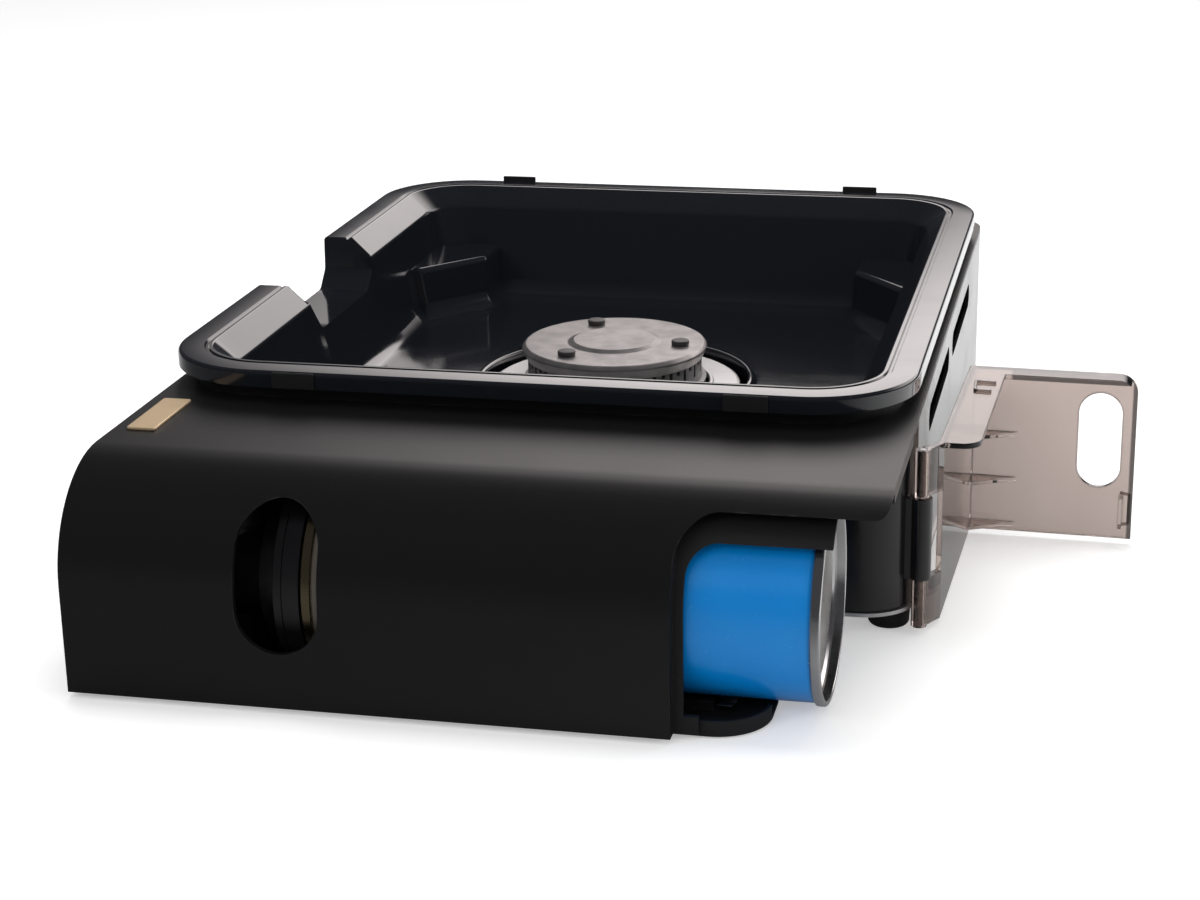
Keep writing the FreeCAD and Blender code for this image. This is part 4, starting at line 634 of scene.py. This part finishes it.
def bowl_shell():
    """Rows of the inner face from skirt to hole, then of the underside back out, each a ring of points:
    outline minus inset times outward, then (1 - share) of that plus share of the circle, then the bead."""
    spot, outward = rounded_rectangle(*RIM, RIM_CORNER, 16, 9.0, NOTCH_TOP[:, 0])
    inner = rounded([(0, 82), (0, 88, 1.3), (9.4, 88), (10, 87.3), (10.8, 87.3), (11.3, 88), (12.6, 88, 0.8),
                     (21, 80, 3), (28, FLOOR_TOP, 8), (FLOOR_INSET, FLOOR_TOP)], 6)
    under = rounded([(1.6, 82), (2, 86, 0.6), (11, 86, 2), (19, 80, 2), (26, FLOOR_UNDER, 9),
                     (FLOOR_INSET, FLOOR_UNDER)], 6)
    bead = rounded([(HOLE_RING, FLOOR_TOP), (57, FLOOR_TOP, 1.5), (56.4, 44, 1.2), (54, 44, 1.2),
                    (54, FLOOR_UNDER)], 4)
    toward = spot - BURNER - FLOOR_INSET * outward
    circle = toward / np.linalg.norm(toward, axis=1, keepdims=True)

    def carried(profile):
        flat = spot[None] - profile[:, :1, None] * outward[None]
        return np.dstack([flat, np.broadcast_to(profile[:, 1:2], flat.shape[:2])])

    def floor_rows(shares, height):
        share = shares[:, None, None]
        flat = (1 - share) * (BURNER + toward) + share * (BURNER + circle * HOLE_RING)
        return np.dstack([flat, np.full(flat.shape[:2], height)])

    hole = np.dstack([BURNER + bead[:, :1, None] * circle[None], np.repeat(bead[:, 1:2], len(spot), axis=1)])
    shares = np.linspace(0, 1, 8)[1:-1]
    face = under_notch(carried(inner), NOTCH_TOP, 62)
    back = under_notch(carried(under), NOTCH_UNDER, 60)
    face[0, :, 2] = back[0, :, 2]
    rows = [face, floor_rows(shares, FLOOR_TOP), hole, floor_rows(1 - shares, FLOOR_UNDER), back[::-1]]
    points = np.vstack(rows)
    return points, grid_faces(len(points), len(spot), rows_close=True)


surface("bowl_shell", *bowl_shell(), BOWL, "bowl", ("drip_bowl",))
print("bowl rim", RIM[2] - RIM[0], "by", RIM[3] - RIM[1], "mm")

# %% [markdown]
# ## Corner blocks of the bowl
# In each corner the blank is pressed up into a slanted block that carries a foot of the pan. Its free faces run
# down into the floor with a wide round, which is where the enamel shows its brightest reflections. A block is
# its outline at two heights, blended between them, with the round added as an outward shift that fades upwards.

# %% Corner blocks
WALL_SHIFT = 7.0 / 39.0
BLOCK_LOW = 40.0
BLOCK_HIGH = 63.0
BLOCK_FOOT = rounded([(9, 40.6), (0, 40.6, 7.5), (0, 63, 2.2), (-2.6, 63)], 7)


def block_outline(height, draw_in):
    """Half outline from wall to wall through the block's free corners, then back through the wall's corner."""
    inset = 21 + WALL_SHIFT * (80 - height) - 1
    free = rounded([(28 - draw_in, 0), (28 - draw_in, 24, 2.5), (5, 52 - draw_in, 2.5), (0, 52 - draw_in)], 5)
    back = rounded([(0, 52 - draw_in), (0, 0, RIM_CORNER - inset), (28 - draw_in, 0)], 7)[1:-1]
    weight = np.concatenate([np.ones(len(free)), np.zeros(len(back))])
    return np.vstack([free, back]) + inset, weight


def corner_blocks():
    """Four mirrored copies of a grid: height by outline, then a lid drawn in to its middle."""
    low, weight = block_outline(BLOCK_LOW, 3.0)
    high, _ = block_outline(BLOCK_HIGH, 0.0)
    along = np.roll(high, -1, axis=0) - np.roll(high, 1, axis=0)
    outward = np.column_stack([along[:, 1], -along[:, 0]]) / np.linalg.norm(along, axis=1, keepdims=True)
    outward *= -np.sign(np.sum(outward * (high.mean(axis=0) - high), axis=1).sum()) * weight[:, None]
    share = ((BLOCK_FOOT[:, 1] - BLOCK_LOW) / (BLOCK_HIGH - BLOCK_LOW))[:, None, None]
    flat = low * (1 - share) + high * share + BLOCK_FOOT[:, :1, None] * outward
    one = np.dstack([flat, np.repeat(BLOCK_FOOT[:, 1:2], len(low), axis=1)])
    middle = one[-1].mean(axis=0)
    lid = middle + (one[-1] - middle) * np.array([0.6, 0.0])[:, None, None]
    foot = one[0] * [1, 1, 0] + [0, 0, 39.5]
    middle_low = foot.mean(axis=0)
    base = middle_low + (foot - middle_low) * np.array([0.0, 1.0])[:, None, None]
    one = np.vstack([base, one, lid])
    faces = grid_faces(len(one), len(low))
    blocks, sides = [], []
    for left in (True, False):
        for near in (True, False):
            x = RIM[0] + one[..., 0] if left else RIM[2] - one[..., 0]
            y = RIM[1] + one[..., 1] if near else RIM[3] - one[..., 1]
            blocks.append(np.dstack([x, y, one[..., 2]]).reshape(-1, 3))
            sides.append(faces + one.shape[0] * one.shape[1] * len(sides))
    return np.vstack(blocks), np.vstack(sides)


surface("bowl_corner_blocks", *corner_blocks(), BOWL, "bowl")
softened("rim_lugs", 0.5, "bowl")
print("four corner blocks and four lugs")

# %% [markdown]
# ## Burner
# The lid, its studs, the casting under it and the bright plate round it are all turned forms, so each is a
# profile of radius and height swept round the burner's axis. The crown is the exception: its upper edge drops
# into a deep slot many times over, with a shallow notch halfway between, and its height is a function of the
# angle.

# %% Burner
BURNER_FOOT = (*BURNER, 0.0)
turned("burner_lid", rounded([(0, 52.3), (34.6, 52.3), (35.6, 52.3, 0.3), (37.7, 56.6, 0.9), (36.4, 58.3, 1.4),
                              (19.0, 58.3, 2.2), (16.6, 59.4, 1.1), (0, 59.4)], 5),
       BURNER_FOOT, "z", CAP_IRON, stands_for=("burner_cap",), around=128)
stud_angle = np.radians([118, 238, 358])
stud_places = np.column_stack([BURNER + 27.4 * np.column_stack([np.cos(stud_angle), np.sin(stud_angle)]),
                               np.zeros(3)])
turned("lid_studs", rounded([(0, 58.2), (3.3, 58.2), (3.6, 59.0, 0.3), (3.6, 60.3, 0.5), (0, 60.3)], 4),
       stud_places, "z", STUD_IRON, stands_for=("burner_studs",), around=32)
turned("burner_casting", rounded([(0, 10), (10, 10, 1), (10, 18, 1), (26, 18, 3), (27, 34, 4), (36.8, 39.6, 1.5),
                                  (36.8, 43.4, 0.4), (37.3, 43.7, 0.3), (37.3, 44.2, 0.3), (35.5, 44.3),
                                  (0, 44)], 4),
       BURNER_FOOT, "z", CAST_SILVER, stands_for=("burner_body",), around=128)
turned("bright_plate", rounded([(38.6, 40), (38.6, 42.2, 0.4), (39.8, 42.2, 0.6), (40.4, 41.3, 0.8),
                                (49.6, 41.5, 1), (51, 40.7, 0.6), (51, 40)], 4)[::-1].tolist()
       + [(38.6, 40.0)], BURNER_FOOT, "z", PLATE, stands_for=("ring_plate",), around=128)


SLOTS = 28
CROWN_INNER, CROWN_OUTER = 29.4, 35.4
CROWN_FOOT, CROWN_RISE = 44, 8.25
SLOT_DEPTH, NOTCH_DEPTH = 5.2, 1.6


def crown():
    """A ring that rises from its foot to its top, less a slot's depth within half a width of the slot's angle,
    less a notch's depth within half a width of the notch's. The half angle is the arcsine of half the width
    over the radius, so a slot's sides are parallel."""
    half, gap = 0.75, 0.03
    rows = [(CROWN_INNER, 0), (CROWN_OUTER, 0), (CROWN_OUTER, 1), (34.9, 1), (29.9, 1), (CROWN_INNER, 1)]
    pitch = 2 * np.pi / SLOTS
    centre = np.repeat(np.arange(SLOTS * 2) * pitch / 2, 6)
    side = np.tile([-half - gap, -half, half, half + gap, 2.2, 3.1], SLOTS * 2)
    depth = np.tile([0, SLOT_DEPTH, SLOT_DEPTH, 0, 0, 0, 0, NOTCH_DEPTH, NOTCH_DEPTH, 0, 0, 0], SLOTS)
    points = []
    for radius, raised in rows:
        shift = np.where(np.abs(side) < 1, np.arcsin(side / radius), side / CROWN_OUTER)
        angle = centre + shift
        height = CROWN_FOOT + raised * (CROWN_RISE - depth)
        points.append(np.column_stack([BURNER[0] + radius * np.cos(angle), BURNER[1] + radius * np.sin(angle),
                                       np.broadcast_to(height, angle.shape)]))
    return np.array(points), grid_faces(len(rows), len(centre), rows_close=True)


surface("flame_crown", *crown(), CAST_SILVER, "stove", ("burner_crown",))
print("crown with", SLOTS, "slots and", SLOTS, "notches")

# %% [markdown]
# ## Cartridge
# The cartridge is tinplate: a drawn cylinder, and two ends rolled on with a double seam. Only a narrow bare ring
# shows where the blue ends, and the base is set back in it with a shallow stamped step. All are turned about the
# cartridge's axis, from profiles of radius and place along it.

# %% Cartridge
CAN_AXIS = (0.0, 41.0, 36.0)
turned("can_body", rounded([(0, 83.2), (32.4, 83.2), (33, 84.2, 0.8), (33, 244.2, 1.5), (32.4, 245.4), (31.9, 245.2),
                            (31.9, 240), (0, 240)], 4),
       CAN_AXIS, "x", CAN_BLUE, "gas_cartridge", ("cartridge_can",), 160)
turned("can_base_seam", rounded([(30.2, 243.2), (31.6, 243.2), (32.9, 245.0, 0.6), (34, 245.3, 0.7),
                                 (34, 248.5, 0.9), (32.2, 248.5, 0.6), (31.7, 245.0, 0.6), (30.2, 243.2)], 4),
       CAN_AXIS, "x", TINPLATE, "gas_cartridge", (), 160)
turned("can_base", rounded([(0, 240.5), (31, 240.5), (31.75, 241.2), (31.75, 245.4), (31.2, 243.9, 0.7),
                            (27.5, 243.4, 1.0), (26.2, 244.6, 1.0), (12, 245.3, 3), (0, 245.5)], 4),
       CAN_AXIS, "x", CAN_BASE, "gas_cartridge", ("cartridge_base",), 160)
softened("cartridge_dome", 0.35, "gas_cartridge")
softened("valve_stem", 0.25, "cartridge_valve")
print("cartridge ready")

# %% [markdown]
# ## Sheet, mouldings and small parts
# The rest keeps the solids' own shapes. What a solid lacks is the small radius that every bent, moulded or
# stamped edge has and that catches the light, so a copy of it gets rolled edges of its own size, from a tenth of
# a millimetre on wire to a millimetre on the housing.

# %% Rolled edges
EDGES = {
    "top_housing": 0.8, "opening_surround": 0.45, "left_end_cover": 0.4, "burner_box": 0.45, "base_pan": 0.4,
    "badge_plate": 0.3, "mixing_tube": 0.3, "plate_stays": 0.3, "heat_shield": 0.25,
    "valve_body": 0.5, "valve_saddle": 0.6, "regulator_drum": 0.6, "cartridge_seat": 0.4, "magnet_ring": 0.4,
    "dial_ring": 0.25, "piezo_igniter": 0.4, "compartment_tray": 0.35, "tray_leaf": 0.1,
    "hinge_bracket": 0.5, "hinge_pin": 0.2, "electrode_ceramic": 0.3, "jet_nozzle": 0.3,
}
MOVING_EDGES = {
    "control_knob": (0.7, "knob"), "knob_shaft": (0.3, "knob"), "igniter_cam": (0.2, "knob"),
    "igniter_plunger": (0.3, "plunger"), "cartridge_door": (0.35, "cartridge_door"),
}
for node, edge in EDGES.items():
    softened(node, edge)
for node, (edge, body) in MOVING_EDGES.items():
    softened(node, edge, body)
foot_places = [(x, y, 0.0) for x in (8.9, 258.8) for y in (113.5, 393.5)]
turned("rubber_feet", rounded([(0, 0), (6.4, 0, 1.2), (7.2, 1.2, 1), (7.6, 7.6, 0.8), (6.9, 8.5), (0, 8.5)], 4),
       foot_places, "z", RUBBER, stands_for=("feet",), around=48)
print("rolled edges on", len(EDGES) + len(MOVING_EDGES), "solids")

# %% [markdown]
# ## Ribs on the door
# The door is one moulding. Its solid already has the flange, the gussets and a straight snap bar near the free
# edge. Two shallow ribs are added here: a U on the flange, and a C round the root of the snap bar, kept low so
# that it clears the surround when the door is shut. Each is a flat ribbon bent along a short path: at a point of
# the path, half the width to either side, and from its foot to its top. The paths are drawn on the closed door
# and then turned open about the hinge, as the solid is.

# %% Door ribs
HINGE = np.array([270.0, 106.0])
OPEN_ANGLE = math.radians(178)


def opened(points):
    """Points (u, v, z) of the closed door, measured from the hinge, turned to where the open door has them."""
    u, v, z = np.moveaxis(np.asarray(points, float), -1, 0)
    cosine, sine = math.cos(OPEN_ANGLE), math.sin(OPEN_ANGLE)
    return np.stack([HINGE[0] + u * cosine - v * sine, HINGE[1] + u * sine + v * cosine, z], axis=-1)


def ribbon(path, width, foot, top):
    """Four corners at each point of a path in a plane: half a width to either side of it, at foot and top."""
    path = np.asarray(path, float)
    along = np.gradient(path, axis=0)
    side = np.column_stack([-along[:, 1], along[:, 0]]) / np.linalg.norm(along, axis=1, keepdims=True) * width / 2
    left, right = path + side, path - side
    corners = [np.column_stack([flat, np.full(len(path), level)])
               for flat, level in ((left, foot), (left, top), (right, top), (right, foot))]
    ring = np.stack(corners, axis=1)
    ends = [np.repeat(ring[end].mean(axis=0)[None], 4, axis=0)[None] for end in (0, -1)]
    grid = np.vstack([ends[0], ring, ends[1]])
    return grid, grid_faces(len(grid), 4)


hook, hook_faces = ribbon(rounded([(-16.2, -81.2), (-8.8, -81.6, 1.2), (-9.6, -70.4, 1.2), (-15.6, -70.0)], 5),
                          1.1, 66.8, 67.9)
surface("door_hook", opened(hook), hook_faces, SMOKE, "cartridge_door", edge=0.2)
snap, snap_faces = ribbon(rounded([(-62.0, 20.9), (-65.5, 20.3, 0.8), (-65.5, 8.7, 0.8), (-62.0, 8.2)], 5),
                          1.2, -101.7, -101.2)
surface("door_snap", opened(snap[..., [0, 2, 1]]), snap_faces, SMOKE, "cartridge_door", edge=0.2)
print("two ribs on the door")

# %% [markdown]
# ## Floor
# A pale table top that runs far back. It keeps the stove's shadow, and is white where the camera sees it lit. In
# gloss it is dark in front of the stove and paler behind it. The photograph shows no table, so this is a choice
# that keeps the upright black panels dark.

# %% Floor
def floor():
    """A wide flat sheet just under the feet."""
    corners = np.array([(-6, -4), (6, -4), (6, 8), (-6, 8)], float)
    mesh = bpy.data.meshes.new("floor")
    mesh.from_pydata(np.column_stack([corners, np.zeros(4)]).tolist(), [], [(0, 1, 2, 3)])
    obj = bpy.data.objects.new("floor", mesh)
    scene.collection.objects.link(obj)
    finish = Finish("floor_paint", Roughness=0.7, Specular_IOR_Level=0.1)
    eye, gloss = finish.rays("Camera", "Glossy")
    east, north, _ = finish.parts(finish.place)
    far = finish.between(east * 0.6 + north, -0.35, 0.35, smooth=True)
    lift = finish.node("Emission", {}, {"Color": WHITE, "Strength": eye * 0.36 + gloss * far * 0.25})
    finish.colour(finish.blend(gloss * (1 - far), (0.88, 0.88, 0.88, 1), (0.12, 0.12, 0.12, 1)))
    out = finish.tree.nodes["Material Output"]
    both = finish.node("AddShader", {}, {0: Value(finish, finish.shader.outputs[0]), 1: lift})
    finish.feed(out.inputs["Surface"], both)
    mesh.materials.append(finish.material)


floor()
